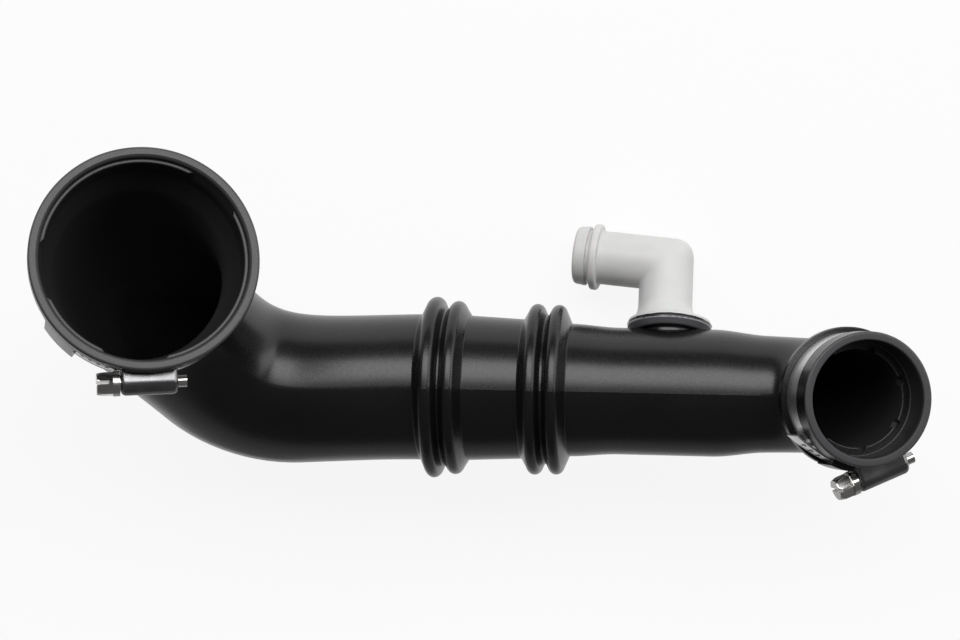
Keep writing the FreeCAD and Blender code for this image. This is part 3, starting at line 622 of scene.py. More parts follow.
def turned_mesh(name, profile, matrix, count=TURNED_POINTS):
    """Closed mesh turned about the matrix's Z from (height, radius) points; the ends lie on the axis."""
    bm = bmesh.new()
    rows = []
    for height, radius in profile:
        if radius < ON_AXIS:
            rows.append([bm.verts.new(matrix @ Vector((0, 0, height)))])
            continue
        ring = []
        for k in range(count):
            angle = 2 * math.pi * k / count
            point = Vector((radius * math.cos(angle), radius * math.sin(angle), height))
            ring.append(bm.verts.new(matrix @ point))
        rows.append(ring)
    for low, high in zip(rows, rows[1:]):
        for k in range(count):
            j = (k + 1) % count
            if len(low) == 1:
                bm.faces.new((low[0], high[k], high[j]))
            elif len(high) == 1:
                bm.faces.new((low[k], low[j], high[0]))
            else:
                bm.faces.new((low[k], low[j], high[j], high[k]))
    bmesh.ops.recalc_face_normals(bm, faces=bm.faces)
    mesh = bpy.data.meshes.new(name)
    bm.to_mesh(mesh)
    bm.free()
    return mesh


def boss_frame():
    """Frame of the breather boss: on the tube's axis, Z out through the boss."""
    lean = math.radians(BOSS_LEAN)
    return frame_at(Vector((BOSS_X, 0, 0)), Vector((0, math.cos(lean), -math.sin(lean))), X_AXIS)


def swept_arc(name, profile, matrix, angle_from, angle_to, steps):
    """Closed mesh of a (radius, height) outline swept round the matrix's Z between two angles."""
    bm = bmesh.new()
    rows = []
    for k in range(steps + 1):
        a = math.radians(angle_from + (angle_to - angle_from) * k / steps)
        rows.append([bm.verts.new(matrix @ Vector((r * math.cos(a), r * math.sin(a), h)))
                     for r, h in profile])
    n = len(profile)
    for low, high in zip(rows, rows[1:]):
        for j in range(n):
            bm.faces.new((low[j], low[(j + 1) % n], high[(j + 1) % n], high[j]))
    bm.faces.new(rows[0][::-1])
    bm.faces.new(rows[-1])
    bmesh.ops.recalc_face_normals(bm, faces=bm.faces)
    mesh = bpy.data.meshes.new(name)
    bm.to_mesh(mesh)
    bm.free()
    return mesh


def keeper_mesh(name, mouth, angle, reach, band_depth, seat_r):
    """Bridge moulded over a clamp's tail."""
    inside = seat_r + BAND_STACK + KEEPER_CLEARANCE
    outside = inside + KEEPER_THICKNESS
    half = BAND_WIDTH / 2 + KEEPER_CLEARANCE
    body_half = SEAT_LENGTH / 2 + KEEPER_SIDE
    foot = seat_r - KEEPER_SUNK
    outline = filleted([(foot, -body_half, 0), (outside, -body_half, KEEPER_ROUND),
                        (outside, body_half, KEEPER_ROUND), (foot, body_half, 0), (foot, half, 0),
                        (inside, half, KEEPER_INNER_ROUND), (inside, -half, KEEPER_INNER_ROUND),
                        (foot, -half, 0)])
    place = mouth @ Matrix.Translation((0, 0, -band_depth))
    return swept_arc(name, outline, place, angle - reach[1], angle - reach[0], KEEPER_STEPS)


def boolean(target, mesh, operation):
    """Joins or cuts a mesh into the target object, and applies it."""
    tool = bpy.data.objects.new("tool", mesh)
    bpy.context.scene.collection.objects.link(tool)
    modifier = target.modifiers.new("join", "BOOLEAN")
    modifier.operation = operation
    modifier.solver = "EXACT"
    modifier.object = tool
    bpy.context.view_layer.update()
    joined = target.evaluated_get(bpy.context.evaluated_depsgraph_get())
    result = bpy.data.meshes.new_from_object(joined)
    target.modifiers.clear()
    old = target.data
    target.data = result
    bpy.data.meshes.remove(old)
    bpy.data.objects.remove(tool)
    bpy.data.meshes.remove(mesh)


def cleaned(mesh):
    """Merges doubled points and clears the faces without area that the booleans leave."""
    bm = bmesh.new()
    bm.from_mesh(mesh)
    bmesh.ops.remove_doubles(bm, verts=bm.verts, dist=WELD_REACH)
    bmesh.ops.dissolve_degenerate(bm, edges=bm.edges, dist=WELD_REACH)
    many_sided = [face for face in bm.faces if len(face.verts) > 4]
    bmesh.ops.triangulate(bm, faces=many_sided, ngon_method="BEAUTY")
    bmesh.ops.dissolve_degenerate(bm, edges=bm.edges, dist=WELD_REACH)
    bm.to_mesh(mesh)
    bm.free()


def make_hose():
    """The moulding: duct with bellows and cuffs, joined to its boss and keepers, with the boss bored."""
    mesh = grid_mesh("hose", hose_rings(), True, True)
    outward(mesh)
    piece = bpy.data.objects.new("hose", mesh)
    bpy.context.scene.collection.objects.link(piece)
    boss = filleted([(BOSS_ROOT, 0, 0), (BOSS_ROOT, BOSS_NECK_R, 0),
                     (BOSS_NECK_TOP, BOSS_NECK_R, BOSS_NECK_ROUND),
                     (BOSS_TOP - BOSS_RIM, BOSS_R, BOSS_UNDER_ROUND),
                     (BOSS_TOP, BOSS_R, BOSS_EDGE), (BOSS_TOP, 0, 0)])
    boolean(piece, turned_mesh("boss", boss, boss_frame()), "UNION")
    for keeper in ((LARGE_FRAME, LARGE_CLAMP_ANGLE, LARGE_KEEPER, LARGE_BAND_DEPTH, LARGE_SEAT_R),
                   (SMALL_FRAME, SMALL_CLAMP_ANGLE, SMALL_KEEPER, SMALL_BAND_DEPTH, SMALL_SEAT_R)):
        boolean(piece, keeper_mesh("keeper", *keeper), "UNION")
    over = BOSS_TOP + BOSS_HOLE_OVER
    hole = [(0, 0), (0, BOSS_HOLE_R), (over, BOSS_HOLE_R), (over, 0)]
    boolean(piece, turned_mesh("hole", hole, boss_frame()), "DIFFERENCE")
    piece.data.name = "hose"
    cleaned(piece.data)
    piece.data.transform(PLACE)
    shade(piece.data, HOSE_SMOOTH_ANGLE)
    mark_ridge(piece.data)
    piece.modifiers.new("normals", "WEIGHTED_NORMAL").keep_sharp = True
    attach(piece, BODY)
    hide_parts("intake_hose")
    return piece


def mark_ridge(mesh):
    """Keeps the parting ridge's edge crisp along the straight tube."""
    back = PLACE.inverted()
    local = [back @ v.co for v in mesh.vertices]
    on_ridge = [abs(p.y) < RIDGE_CRISP_SIDE and abs(p.z) > RIDGE_CRISP_R
                and RIDGE_CRISP_X[0] < p.x < RIDGE_CRISP_X[1] for p in local]
    bm = bmesh.new()
    bm.from_mesh(mesh)
    for edge in bm.edges:
        first, second = (v.index for v in edge.verts)
        along = abs((local[second] - local[first]).normalized().x)
        if on_ridge[first] and on_ridge[second] and along > RIDGE_CRISP_ALONG:
            edge.smooth = False
    bm.to_mesh(mesh)
    bm.free()


# Rubber: colours, roughness and where it is duller, and painted light on the mouths' inner walls, the
# mouths' end faces and the boss under the elbow: bounds in metres, margins and jag in millimetres
RUBBER_DARK = (0.0036, 0.0036, 0.0038)
RUBBER_LIGHT = (0.0060, 0.0060, 0.0062)
RUBBER_ROUGH = (0.255, 0.305)
RUBBER_SWELL = (0.10, 0.0006)
RUBBER_GRAIN = (0.05, 0.00006)
RUBBER_SPECULAR = 0.5
# Painted light: grey painted on the inner wall near each mouth, standing in for the light falling into the
# mouth; plain black deeper in
INSIDE_PAINTED_LIGHT = (0.022, 0.022, 0.023)
INSIDE_DULL = 0.20
INSIDE_FACING = (-0.004, -0.001)
INSIDE_HEIGHT = (-0.075, -0.030)
INSIDE_MARGIN = (2.0, 3.0)
# Painted light: lighter grey painted on the mouths' end faces, standing in for the light they catch
RIM_FACE_PAINTED_LIGHT = (0.050, 0.050, 0.053)
RIM_FACE_DULL = 0.16
RIM_FACE_HEIGHT = (-0.0006, -0.0003)
RIM_FACE_MARGIN = 1.0
# Painted light: grey painted on the boss under the elbow's flange, up to a ragged edge, standing in for
# the light falling on it
BOSS_PAINTED_LIGHT = (0.27, 0.27, 0.29)
BOSS_LIGHT_DULL = 0.10
BOSS_LIGHT_JAG = 1.8
BOSS_LIGHT_FOOT = (0.0207, 0.0212)
BOSS_LIGHT_TOP = (0.0233, 0.0236)
BOSS_LIGHT_SIDE = (0.0148, 0.0152)

# White plastic
PLASTIC_DARK = (0.60, 0.60, 0.59)
PLASTIC_LIGHT = (0.66, 0.66, 0.65)
PLASTIC_ROUGH = (0.40, 0.55)
PLASTIC_GRAIN = (0.08, 0.0001)
PLASTIC_DEPTH_SHARE = 0.08
PLASTIC_DEPTH = 0.003

# Steel: streaks to the metre, dark and light colour, roughness
BAND_STEEL = (2600, (0.70, 0.70, 0.71), (0.86, 0.86, 0.87), 0.36)
HOUSING_STEEL = (1800, (0.16, 0.16, 0.165), (0.27, 0.27, 0.275), 0.28)
SCREW_STEEL = (1500, (0.55, 0.54, 0.52), (0.70, 0.69, 0.67), 0.24)
STEEL_STRETCH = 0.03
STEEL_SMOOTHER = 0.07
STEEL_ROUGHER = 0.09
STEEL_GRAIN = (0.12, 0.00005)

# Scales of the noise in the materials
RUBBER_BROAD = 45
RUBBER_FINE = 900
RUBBER_GRAINS = 3200
PLASTIC_BROAD = 60
PLASTIC_FINE = 1400
STEEL_BLOT = 120

# Where noise is taken as low and as high
NOISE_LOW = 0.3
NOISE_HIGH = 0.7


# Helpers for materials
def material(name):
    """New material with its nodes and links."""
    mat = bpy.data.materials.new(name)
    mat.use_nodes = True
    return mat, mat.node_tree.nodes, mat.node_tree.links


def node(nodes, kind, **values):
    """New node with its settings."""
    made = nodes.new(kind)
    for key, value in values.items():
        setattr(made, key, value)
    return made


def noise(nodes, links, vector, scale, detail, rough=0.55):
    """Noise over a vector, about 0.3 to 0.7."""
    made = node(nodes, "ShaderNodeTexNoise")
    made.inputs["Scale"].default_value = scale
    made.inputs["Detail"].default_value = detail
    made.inputs["Roughness"].default_value = rough
    links.new(vector, made.inputs["Vector"])
    return made.outputs["Fac"]


def ramp(nodes, links, value, dark, light):
    """Colour between two as the noise goes from low to high."""
    made = node(nodes, "ShaderNodeValToRGB")
    stops = ((NOISE_LOW, dark), (NOISE_HIGH, light))
    for point, (place, colour) in zip(made.color_ramp.elements, stops):
        point.position = place
        point.color = (*colour, 1)
    links.new(value, made.inputs["Fac"])
    return made.outputs["Color"]


def span(nodes, links, value, low, high, from_low=NOISE_LOW, from_high=NOISE_HIGH):
    """Value carried from one range to another."""
    made = node(nodes, "ShaderNodeMapRange")
    made.inputs["From Min"].default_value = from_low
    made.inputs["From Max"].default_value = from_high
    made.inputs["To Min"].default_value = low
    made.inputs["To Max"].default_value = high
    links.new(value, made.inputs["Value"])
    return made.outputs["Result"]


def bump(nodes, links, value, strength, distance, below=None):
    """Surface direction bent by a height."""
    made = node(nodes, "ShaderNodeBump")
    made.inputs["Strength"].default_value = strength
    made.inputs["Distance"].default_value = distance
    links.new(value, made.inputs["Height"])
    if below is not None:
        links.new(below, made.inputs["Normal"])
    return made.outputs["Normal"]


def along_axis(nodes, links, place, matrix):
    """Height along a frame's Z, the distance from that axis, and the vector out from it, in metres."""
    axis = row_direction(matrix.to_3x3().col[2])
    offset = node(nodes, "ShaderNodeVectorMath", operation="SUBTRACT")
    links.new(place, offset.inputs[0])
    offset.inputs[1].default_value = PLACE @ matrix.to_translation()
    height = node(nodes, "ShaderNodeVectorMath", operation="DOT_PRODUCT")
    links.new(offset.outputs["Vector"], height.inputs[0])
    height.inputs[1].default_value = axis
    foot = node(nodes, "ShaderNodeVectorMath", operation="SCALE")
    foot.inputs[0].default_value = axis
    links.new(height.outputs["Value"], foot.inputs["Scale"])
    out = node(nodes, "ShaderNodeVectorMath", operation="SUBTRACT")
    links.new(offset.outputs["Vector"], out.inputs[0])
    links.new(foot.outputs["Vector"], out.inputs[1])
    radius = node(nodes, "ShaderNodeVectorMath", operation="LENGTH")
    links.new(out.outputs["Vector"], radius.inputs[0])
    return height.outputs["Value"], radius.outputs["Value"], out.outputs["Vector"]


def times(nodes, links, first, second):
    """Product of two values."""
    made = node(nodes, "ShaderNodeMath", operation="MULTIPLY")
    links.new(first, made.inputs[0])
    links.new(second, made.inputs[1])
    return made.outputs["Value"]


def tinted(nodes, links, share, under, colour):
    """The colour laid over another where the share is high."""
    made = node(nodes, "ShaderNodeMix", data_type="RGBA")
    links.new(share, made.inputs[0])
    links.new(under, made.inputs[6])
    made.inputs[7].default_value = (*colour, 1)
    return made.outputs[2]


def roughened(nodes, links, share, under, more):
    """A value with more added where the share is high."""
    made = node(nodes, "ShaderNodeMath", operation="MULTIPLY_ADD")
    links.new(share, made.inputs[0])
    made.inputs[1].default_value = more
    links.new(under, made.inputs[2])
    return made.outputs["Value"]


def rubber():
    """Black moulded rubber: satin, duller in the mouths, on the rims' end faces and on the boss under the
    elbow, where light is also painted on as lighter grey.
    """
    mat, nodes, links = material("hose_rubber")
    shader = nodes["Principled BSDF"]
    place = node(nodes, "ShaderNodeTexCoord").outputs["Object"]
    normal = node(nodes, "ShaderNodeNewGeometry").outputs["Normal"]
    broad = noise(nodes, links, place, RUBBER_BROAD, 3)
    fine = noise(nodes, links, place, RUBBER_FINE, 4)
    grain = noise(nodes, links, place, RUBBER_GRAINS, 2)
    colour = ramp(nodes, links, broad, RUBBER_DARK, RUBBER_LIGHT)
    rough = span(nodes, links, fine, *RUBBER_ROUGH)
    for matrix, bore, rim in ((LARGE_FRAME, LARGE_BORE_R, LARGE_RIM_R),
                              (SMALL_FRAME, SMALL_BORE_R, SMALL_RIM_R)):
        height, radius, out = along_axis(nodes, links, place, matrix)
        # Painted light: the inner wall is painted grey from the mouth to about 30 mm in, fading out by 75
        # mm, standing in for light falling into the mouth; it is also duller there
        facing = node(nodes, "ShaderNodeVectorMath", operation="DOT_PRODUCT")
        links.new(normal, facing.inputs[0])
        links.new(out, facing.inputs[1])
        inward = span(nodes, links, facing.outputs["Value"], 1.0, 0.0, *INSIDE_FACING)
        deep = span(nodes, links, height, 0.0, 1.0, *INSIDE_HEIGHT)
        near = span(nodes, links, radius, 1.0, 0.0, *((bore + more) * MM for more in INSIDE_MARGIN))
        inside = times(nodes, links, times(nodes, links, inward, deep), near)
        colour = tinted(nodes, links, inside, colour, INSIDE_PAINTED_LIGHT)
        rough = roughened(nodes, links, inside, rough, INSIDE_DULL)
        # Painted light: the mouth's end face is painted a lighter grey, standing in for the light it
        # catches, and made duller
        top = span(nodes, links, height, 0.0, 1.0, *RIM_FACE_HEIGHT)
        within = span(nodes, links, radius, 1.0, 0.0, rim * MM, (rim + RIM_FACE_MARGIN) * MM)
        rim_face_light = times(nodes, links, top, within)
        colour = tinted(nodes, links, rim_face_light, colour, RIM_FACE_PAINTED_LIGHT)
        rough = roughened(nodes, links, rim_face_light, rough, RIM_FACE_DULL)
    # Painted light: the boss under the elbow is painted grey, from its neck up to a ragged edge on its
    # rim, standing in for the light falling on it, and made duller
    height, radius, _ = along_axis(nodes, links, place, boss_frame())
    jag = roughened(nodes, links, noise(nodes, links, place, RUBBER_FINE, 3), height, BOSS_LIGHT_JAG * MM)
    risen = span(nodes, links, height, 0.0, 1.0, *BOSS_LIGHT_FOOT)
    below = span(nodes, links, jag, 1.0, 0.0, *BOSS_LIGHT_TOP)
    beside = span(nodes, links, radius, 1.0, 0.0, *BOSS_LIGHT_SIDE)
    boss_light = times(nodes, links, times(nodes, links, risen, below), beside)
    colour = tinted(nodes, links, boss_light, colour, BOSS_PAINTED_LIGHT)
    links.new(colour, shader.inputs["Base Color"])
    links.new(roughened(nodes, links, boss_light, rough, BOSS_LIGHT_DULL), shader.inputs["Roughness"])
    swell = bump(nodes, links, broad, *RUBBER_SWELL)
    links.new(bump(nodes, links, grain, *RUBBER_GRAIN, swell), shader.inputs["Normal"])
    shader.inputs["Specular IOR Level"].default_value = RUBBER_SPECULAR
    return mat


def white_plastic():
    """Off-white moulded plastic with a little light passing into it."""
    mat, nodes, links = material("elbow_plastic")
    shader = nodes["Principled BSDF"]
    place = node(nodes, "ShaderNodeTexCoord").outputs["Object"]
    broad = noise(nodes, links, place, PLASTIC_BROAD, 3)
    fine = noise(nodes, links, place, PLASTIC_FINE, 3)
    links.new(ramp(nodes, links, broad, PLASTIC_DARK, PLASTIC_LIGHT), shader.inputs["Base Color"])
    links.new(span(nodes, links, fine, *PLASTIC_ROUGH), shader.inputs["Roughness"])
    links.new(bump(nodes, links, fine, *PLASTIC_GRAIN), shader.inputs["Normal"])
    shader.inputs["Subsurface Weight"].default_value = PLASTIC_DEPTH_SHARE
    shader.inputs["Subsurface Scale"].default_value = PLASTIC_DEPTH
    return mat


def steel(name, axis, scale, dark, light, rough):
    """Steel brushed round an axis: streaks vary along the axis and hardly round it."""
    mat, nodes, links = material(name)
    shader = nodes["Principled BSDF"]
    place = node(nodes, "ShaderNodeTexCoord").outputs["Object"]
    along = node(nodes, "ShaderNodeVectorMath", operation="DOT_PRODUCT")
    links.new(place, along.inputs[0])
    along.inputs[1].default_value = axis
    stretch = node(nodes, "ShaderNodeVectorMath", operation="SCALE")
    links.new(place, stretch.inputs[0])
    stretch.inputs["Scale"].default_value = STEEL_STRETCH
    joined = node(nodes, "ShaderNodeCombineXYZ")
    links.new(along.outputs["Value"], joined.inputs["X"])
    total = node(nodes, "ShaderNodeVectorMath", operation="ADD")
    links.new(joined.outputs["Vector"], total.inputs[0])
    links.new(stretch.outputs["Vector"], total.inputs[1])
    streak = noise(nodes, links, total.outputs["Vector"], scale, 3)
    blot = noise(nodes, links, place, STEEL_BLOT, 4)
    links.new(ramp(nodes, links, blot, dark, light), shader.inputs["Base Color"])
    shader.inputs["Metallic"].default_value = 1.0
    roughness = span(nodes, links, streak, rough - STEEL_SMOOTHER, rough + STEEL_ROUGHER)
    links.new(roughness, shader.inputs["Roughness"])
    links.new(bump(nodes, links, streak, *STEEL_GRAIN), shader.inputs["Normal"])
    return mat


def row_direction(vector):
    """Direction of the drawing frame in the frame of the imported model."""
    return (PLACE.to_3x3() @ vector).normalized()


# Clamps, elbow and weld flash
def softened(name, node_name, body, width, mat):
    """Copy of a CAD node with its sharp edges rounded over, standing for the node."""
    bm = bmesh.new()
    bm.from_mesh(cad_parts[node_name].data)
    bmesh.ops.remove_doubles(bm, verts=bm.verts, dist=NODE_WELD_REACH)
    flat = math.radians(NODE_FLAT_ANGLE)
    bmesh.ops.dissolve_limit(bm, angle_limit=flat, verts=bm.verts, edges=bm.edges)
    limit = math.radians(SHARP_ANGLE)
    sharp = [e for e in bm.edges if len(e.link_faces) == 2 and e.calc_face_angle(0.0) > limit]
    bmesh.ops.bevel(bm, geom=sharp, offset=width * MM, offset_type="OFFSET", segments=2, profile=0.5,
                    affect="EDGES", clamp_overlap=True)
    mesh = bpy.data.meshes.new(name)
    bm.to_mesh(mesh)
    bm.free()
    if "custom_normal" in mesh.attributes:
        mesh.attributes.remove(mesh.attributes["custom_normal"])
    shade(mesh, SMOOTH_ANGLE)
    mesh.materials.clear()
    mesh.materials.append(mat)
    piece = bpy.data.objects.new(name, mesh)
    bpy.context.scene.collection.objects.link(piece)
    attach(piece, body)
    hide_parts(node_name)
    piece.modifiers.new("normals", "WEIGHTED_NORMAL").keep_sharp = True
    return piece


def elbow_rows():
    """Rings of points up the leg, round the mitred corner, out along the spigot and back inside."""
    foot = boss_frame().to_3x3()
    along, across, up = foot.col[0], foot.col[1], foot.col[2]
    base = Vector((BOSS_X, 0, 0))
    rise = math.radians(SPIGOT_RISE)
    swing = math.radians(SPIGOT_SWING)
    heading = along * (-math.cos(rise) * math.cos(swing)) + up * math.sin(rise)
    heading = (heading + across * (math.cos(rise) * math.sin(swing))).normalized()
    leg_out = (up * heading.dot(up) - heading).normalized()
    spigot_out = (up - heading * heading.dot(up)).normalized()
    side = up.cross(heading).normalized()
    half_turn = math.tan(up.angle(heading) / 2)
    corner = base + along * ELBOW_LEG_SHIFT + up * ELBOW_CORNER_HEIGHT
    angles = [2 * math.pi * k / ELBOW_POINTS for k in range(ELBOW_POINTS)]

    def leg_ring(height, radius, shift):
        middle = base + along * shift + up * height
        return [middle + (leg_out * math.cos(a) + side * math.sin(a)) * radius for a in angles]

    def spigot_ring(distance, radius):
        middle = corner + heading * distance
        return [middle + (spigot_out * math.cos(a) + side * math.sin(a)) * radius for a in angles]

    def corner_points(radius):
        return [corner + (leg_out * math.cos(a) + side * math.sin(a)) * radius
                + up * (radius * math.cos(a) * half_turn) for a in angles]

    top = BOSS_TOP + ELBOW_FLANGE_RIM
    step_in, step_up = ELBOW_RIM_STEP
    rim = filleted([(ELBOW_BORE_R, BOSS_TOP, 0), (ELBOW_FLANGE_R, BOSS_TOP, ELBOW_RIM_ROUNDS[0]),
                    (ELBOW_FLANGE_R, top, ELBOW_RIM_ROUNDS[1]),
                    (ELBOW_FLANGE_R - step_in, top + step_up, 0)])
    rows = [leg_ring(height, radius, 0.0) for radius, height in rim]
    for k in range(ELBOW_FLARE_FIRST, ELBOW_FLARE_STEPS + 1):
        turn = math.radians(90.0 * k / ELBOW_FLARE_STEPS)
        radius = ELBOW_FLANGE_R + (ELBOW_R - ELBOW_FLANGE_R) * math.sin(turn)
        height = top + ELBOW_FLARE_HEIGHT * (1 - math.cos(turn))
        rows.append(leg_ring(height, radius, ELBOW_LEG_SHIFT * math.sin(turn)))
    outside = corner_points(ELBOW_R)
    widest = ELBOW_CORNER_OUTER - ELBOW_CORNER_INNER
    setbacks = [ELBOW_CORNER_INNER + widest * ((1 + math.cos(a)) / 2) ** ELBOW_CORNER_POWER
                for a in angles]
    for k in range(ELBOW_CORNER_STEPS + 1):
        f = k / ELBOW_CORNER_STEPS
        rows.append([c - up * (d * (1 - f) ** 2) + heading * (d * f ** 2)
                     for c, d in zip(outside, setbacks)])
    bead = filleted([(ELBOW_R + ELBOW_CORNER_RUN_OUT, ELBOW_R, 0),
                     (SPIGOT_COLLAR_START, ELBOW_R, SPIGOT_FOOT_ROUND),
                     (SPIGOT_COLLAR_START, SPIGOT_COLLAR_R, SPIGOT_EDGE),
                     (SPIGOT_COLLAR_END, SPIGOT_COLLAR_R, SPIGOT_EDGE),
                     (SPIGOT_COLLAR_END, ELBOW_R, SPIGOT_GROOVE_ROUND),
                     (SPIGOT_BEAD_START, ELBOW_R, SPIGOT_GROOVE_ROUND),
                     (SPIGOT_BEAD_START, SPIGOT_BEAD_R, SPIGOT_EDGE),
                     (SPIGOT_LENGTH, SPIGOT_BEAD_R - SPIGOT_NOSE_TAPER, SPIGOT_NOSE_ROUND),
                     (SPIGOT_LENGTH, ELBOW_BORE_R, SPIGOT_MOUTH_EDGE),
                     (SPIGOT_LENGTH - SPIGOT_RUN_IN, ELBOW_BORE_R, 0),
                     (ELBOW_BORE_R + SPIGOT_RUN_IN, ELBOW_BORE_R, 0)])
    rows += [spigot_ring(distance, radius) for distance, radius in bead]
    rows.append(corner_points(ELBOW_BORE_R))
    rows.append(leg_ring(top + ELBOW_BORE_RUN_OUT, ELBOW_BORE_R, ELBOW_LEG_SHIFT))
    return rows


def make_elbow(mat):
    """The breather elbow, closed and hollow."""
    mesh = grid_mesh("elbow", elbow_rows(), True, True)
    outward(mesh)
    shade(mesh, ELBOW_SMOOTH_ANGLE)
    mesh.materials.append(mat)
    piece = new_piece("elbow", mesh, BODY)
    piece.modifiers.new("normals", "WEIGHTED_NORMAL").keep_sharp = True
    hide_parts("breather_elbow")
    return piece


def wave(angle, seed):
    """Uneven ripple round a circle, the same at every run."""
    return sum(math.sin(angle * n + seed * n * n) / math.sqrt(n) for n in WAVE_COUNTS) / 2


def flash_ring(mat):
    """Thin uneven bead squeezed out where the elbow is welded to the boss."""
    matrix = boss_frame() @ Matrix.Translation((0, 0, BOSS_TOP))
    rows = []
    for k in range(FLASH_POINTS):
        angle = 2 * math.pi * k / FLASH_POINTS
        reach = FLASH_R + FLASH_SWING * wave(angle, WAVE_SEEDS["reach"])
        thick = FLASH_THICK * (1 + FLASH_THICK_SWING * wave(angle, WAVE_SEEDS["thick"]))
        rise = FLASH_RISE_SWING * wave(angle, WAVE_SEEDS["rise"])
        row = []
        for j in range(FLASH_SIDES):
            turn = 2 * math.pi * j / FLASH_SIDES
            r = reach + FLASH_NARROW * thick * math.cos(turn)
            height = rise + thick * math.sin(turn)
            row.append(matrix @ Vector((r * math.cos(angle), r * math.sin(angle), height)))
        rows.append(row)
    mesh = grid_mesh("weld_flash", rows, True, True)
    outward(mesh)
    shade(mesh, FLASH_SMOOTH_ANGLE)
    mesh.materials.append(mat)
    return new_piece("weld_flash", mesh, BODY)


# Pieces
hose = make_hose()
hose_rubber = rubber()
hose.data.materials.clear()
hose.data.materials.append(hose_rubber)
flash_ring(hose_rubber)
make_elbow(white_plastic())
for clamp, axis in (("large", LARGE_AXIS), ("small", SMALL_AXIS)):
    around = row_direction(axis)
    softened(clamp + "_band", clamp + "_clamp_band", BODY, BAND_EDGE,
             steel(clamp + "_band_steel", around, *BAND_STEEL))
    softened(clamp + "_housing", clamp + "_clamp_housing", BODY, HOUSING_EDGE,
             steel(clamp + "_housing_steel", around, *HOUSING_STEEL))
    softened(clamp + "_screw", clamp + "_clamp_screw", clamp + "_screw", SCREW_EDGE,
             steel(clamp + "_screw_steel", around, *SCREW_STEEL))

# Camera, placed in the drawing frame; its sensor and lens in millimetres
CAMERA_PLACE = Vector((116.36, 23.05, 993.22))
CAMERA_RIGHT = Vector((0.99237, 0.01920, -0.12182))
CAMERA_UP = Vector((-0.01905, 0.99982, 0.00234))
CAMERA_SENSOR = 36.0
CAMERA_LENS = 110.6

# Floor and background
FLOOR_HALF = 3.0
FLOOR_DROP = 0.0004
FLOOR_WHITE = 0.93
FLOOR_ROUGH = 0.9
FLOOR_SPECULAR = 0.1
FLOOR_GLOW = 0.90
FLOOR_FRONT_GLOW = 0.30
FLOOR_FALL = (-0.115, -0.065)
ROOM_LEVEL = 0.10
BACKGROUND_LEVEL = 1.0

# Softboxes: place, target, size and watts
KEY_BOX = ((0.07, 0.97, 1.14), (0, 0, 0.03), (2.2, 0.8), 24)
SIDE_BOX = ((1.30, 0.62, 0.52), (-0.06, 0, 0.03), (1.0, 0.8), 6)

floor_mesh = bpy.data.meshes.new("floor")
floor_mesh.from_pydata([(-FLOOR_HALF, -FLOOR_HALF, 0), (FLOOR_HALF, -FLOOR_HALF, 0),
                        (FLOOR_HALF, FLOOR_HALF, 0), (-FLOOR_HALF, FLOOR_HALF, 0)], [], [(0, 1, 2, 3)])
floor = bpy.data.objects.new("floor", floor_mesh)
bpy.context.scene.collection.objects.link(floor)
floor.location.z = -FLOOR_DROP
mat, nodes, links = material("floor_paper")
shader = nodes["Principled BSDF"]
shader.inputs["Base Color"].default_value = (FLOOR_WHITE, FLOOR_WHITE, FLOOR_WHITE, 1)
shader.inputs["Roughness"].default_value = FLOOR_ROUGH
shader.inputs["Specular IOR Level"].default_value = FLOOR_SPECULAR
glow = node(nodes, "ShaderNodeEmission")
glow.inputs["Color"].default_value = (1, 1, 1, 1)
path = node(nodes, "ShaderNodeLightPath")
mix = node(nodes, "ShaderNodeMixShader")
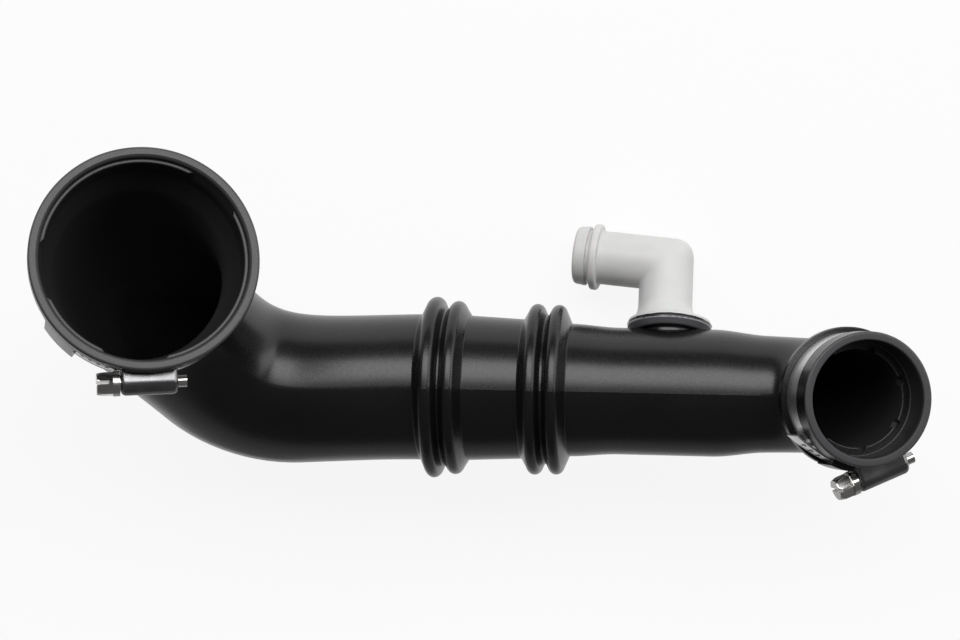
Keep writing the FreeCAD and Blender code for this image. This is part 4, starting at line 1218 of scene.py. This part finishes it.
# In reflections the paper is bright behind the object and falls off in front of it
spot = node(nodes, "ShaderNodeSeparateXYZ")
links.new(node(nodes, "ShaderNodeNewGeometry").outputs["Position"], spot.inputs["Vector"])
fall = span(nodes, links, spot.outputs["Y"], FLOOR_FRONT_GLOW, 1.0, *FLOOR_FALL)
strength = node(nodes, "ShaderNodeMath", operation="MAXIMUM")
links.new(path.outputs["Is Camera Ray"], strength.inputs[0])
links.new(fall, strength.inputs[1])
links.new(strength.outputs["Value"], glow.inputs["Strength"])
seen = node(nodes, "ShaderNodeMath", operation="MAXIMUM")
links.new(path.outputs["Is Camera Ray"], seen.inputs[0])
links.new(path.outputs["Is Glossy Ray"], seen.inputs[1])
share = node(nodes, "ShaderNodeMath", operation="MULTIPLY")
links.new(seen.outputs["Value"], share.inputs[0])
share.inputs[1].default_value = FLOOR_GLOW
links.new(share.outputs["Value"], mix.inputs["Fac"])
links.new(shader.outputs["BSDF"], mix.inputs[1])
links.new(glow.outputs["Emission"], mix.inputs[2])
links.new(mix.outputs["Shader"], nodes["Material Output"].inputs["Surface"])
floor_mesh.materials.append(mat)

world = bpy.data.worlds.new("studio")
bpy.context.scene.world = world
world.use_nodes = True
nodes = world.node_tree.nodes
links = world.node_tree.links
back = nodes["Background"]
back.inputs["Color"].default_value = (1, 1, 1, 1)
path = node(nodes, "ShaderNodeLightPath")
level = node(nodes, "ShaderNodeMapRange")
links.new(path.outputs["Is Camera Ray"], level.inputs["Value"])
level.inputs["To Min"].default_value = ROOM_LEVEL
level.inputs["To Max"].default_value = BACKGROUND_LEVEL
links.new(level.outputs["Result"], back.inputs["Strength"])


def softbox(name, place, target, size, watts):
    """Rectangular lamp that faces its target."""
    lamp = bpy.data.lights.new(name, "AREA")
    lamp.shape = "RECTANGLE"
    lamp.size, lamp.size_y = size
    lamp.energy = watts
    made = bpy.data.objects.new(name, lamp)
    bpy.context.scene.collection.objects.link(made)
    made.location = place
    made.rotation_euler = (Vector(target) - Vector(place)).to_track_quat("-Z", "Y").to_euler()


softbox("key_box", *KEY_BOX)
softbox("side_box", *SIDE_BOX)

lens = bpy.data.cameras.new("camera")
lens.sensor_width = CAMERA_SENSOR
lens.lens = CAMERA_LENS
camera = bpy.data.objects.new("camera", lens)
bpy.context.scene.collection.objects.link(camera)
right = row_direction(CAMERA_RIGHT)
camera.matrix_world = frame_at(PLACE @ CAMERA_PLACE, right.cross(row_direction(CAMERA_UP)), right)
bpy.context.scene.camera = camera
bpy.context.scene.view_settings.view_transform = "Standard"
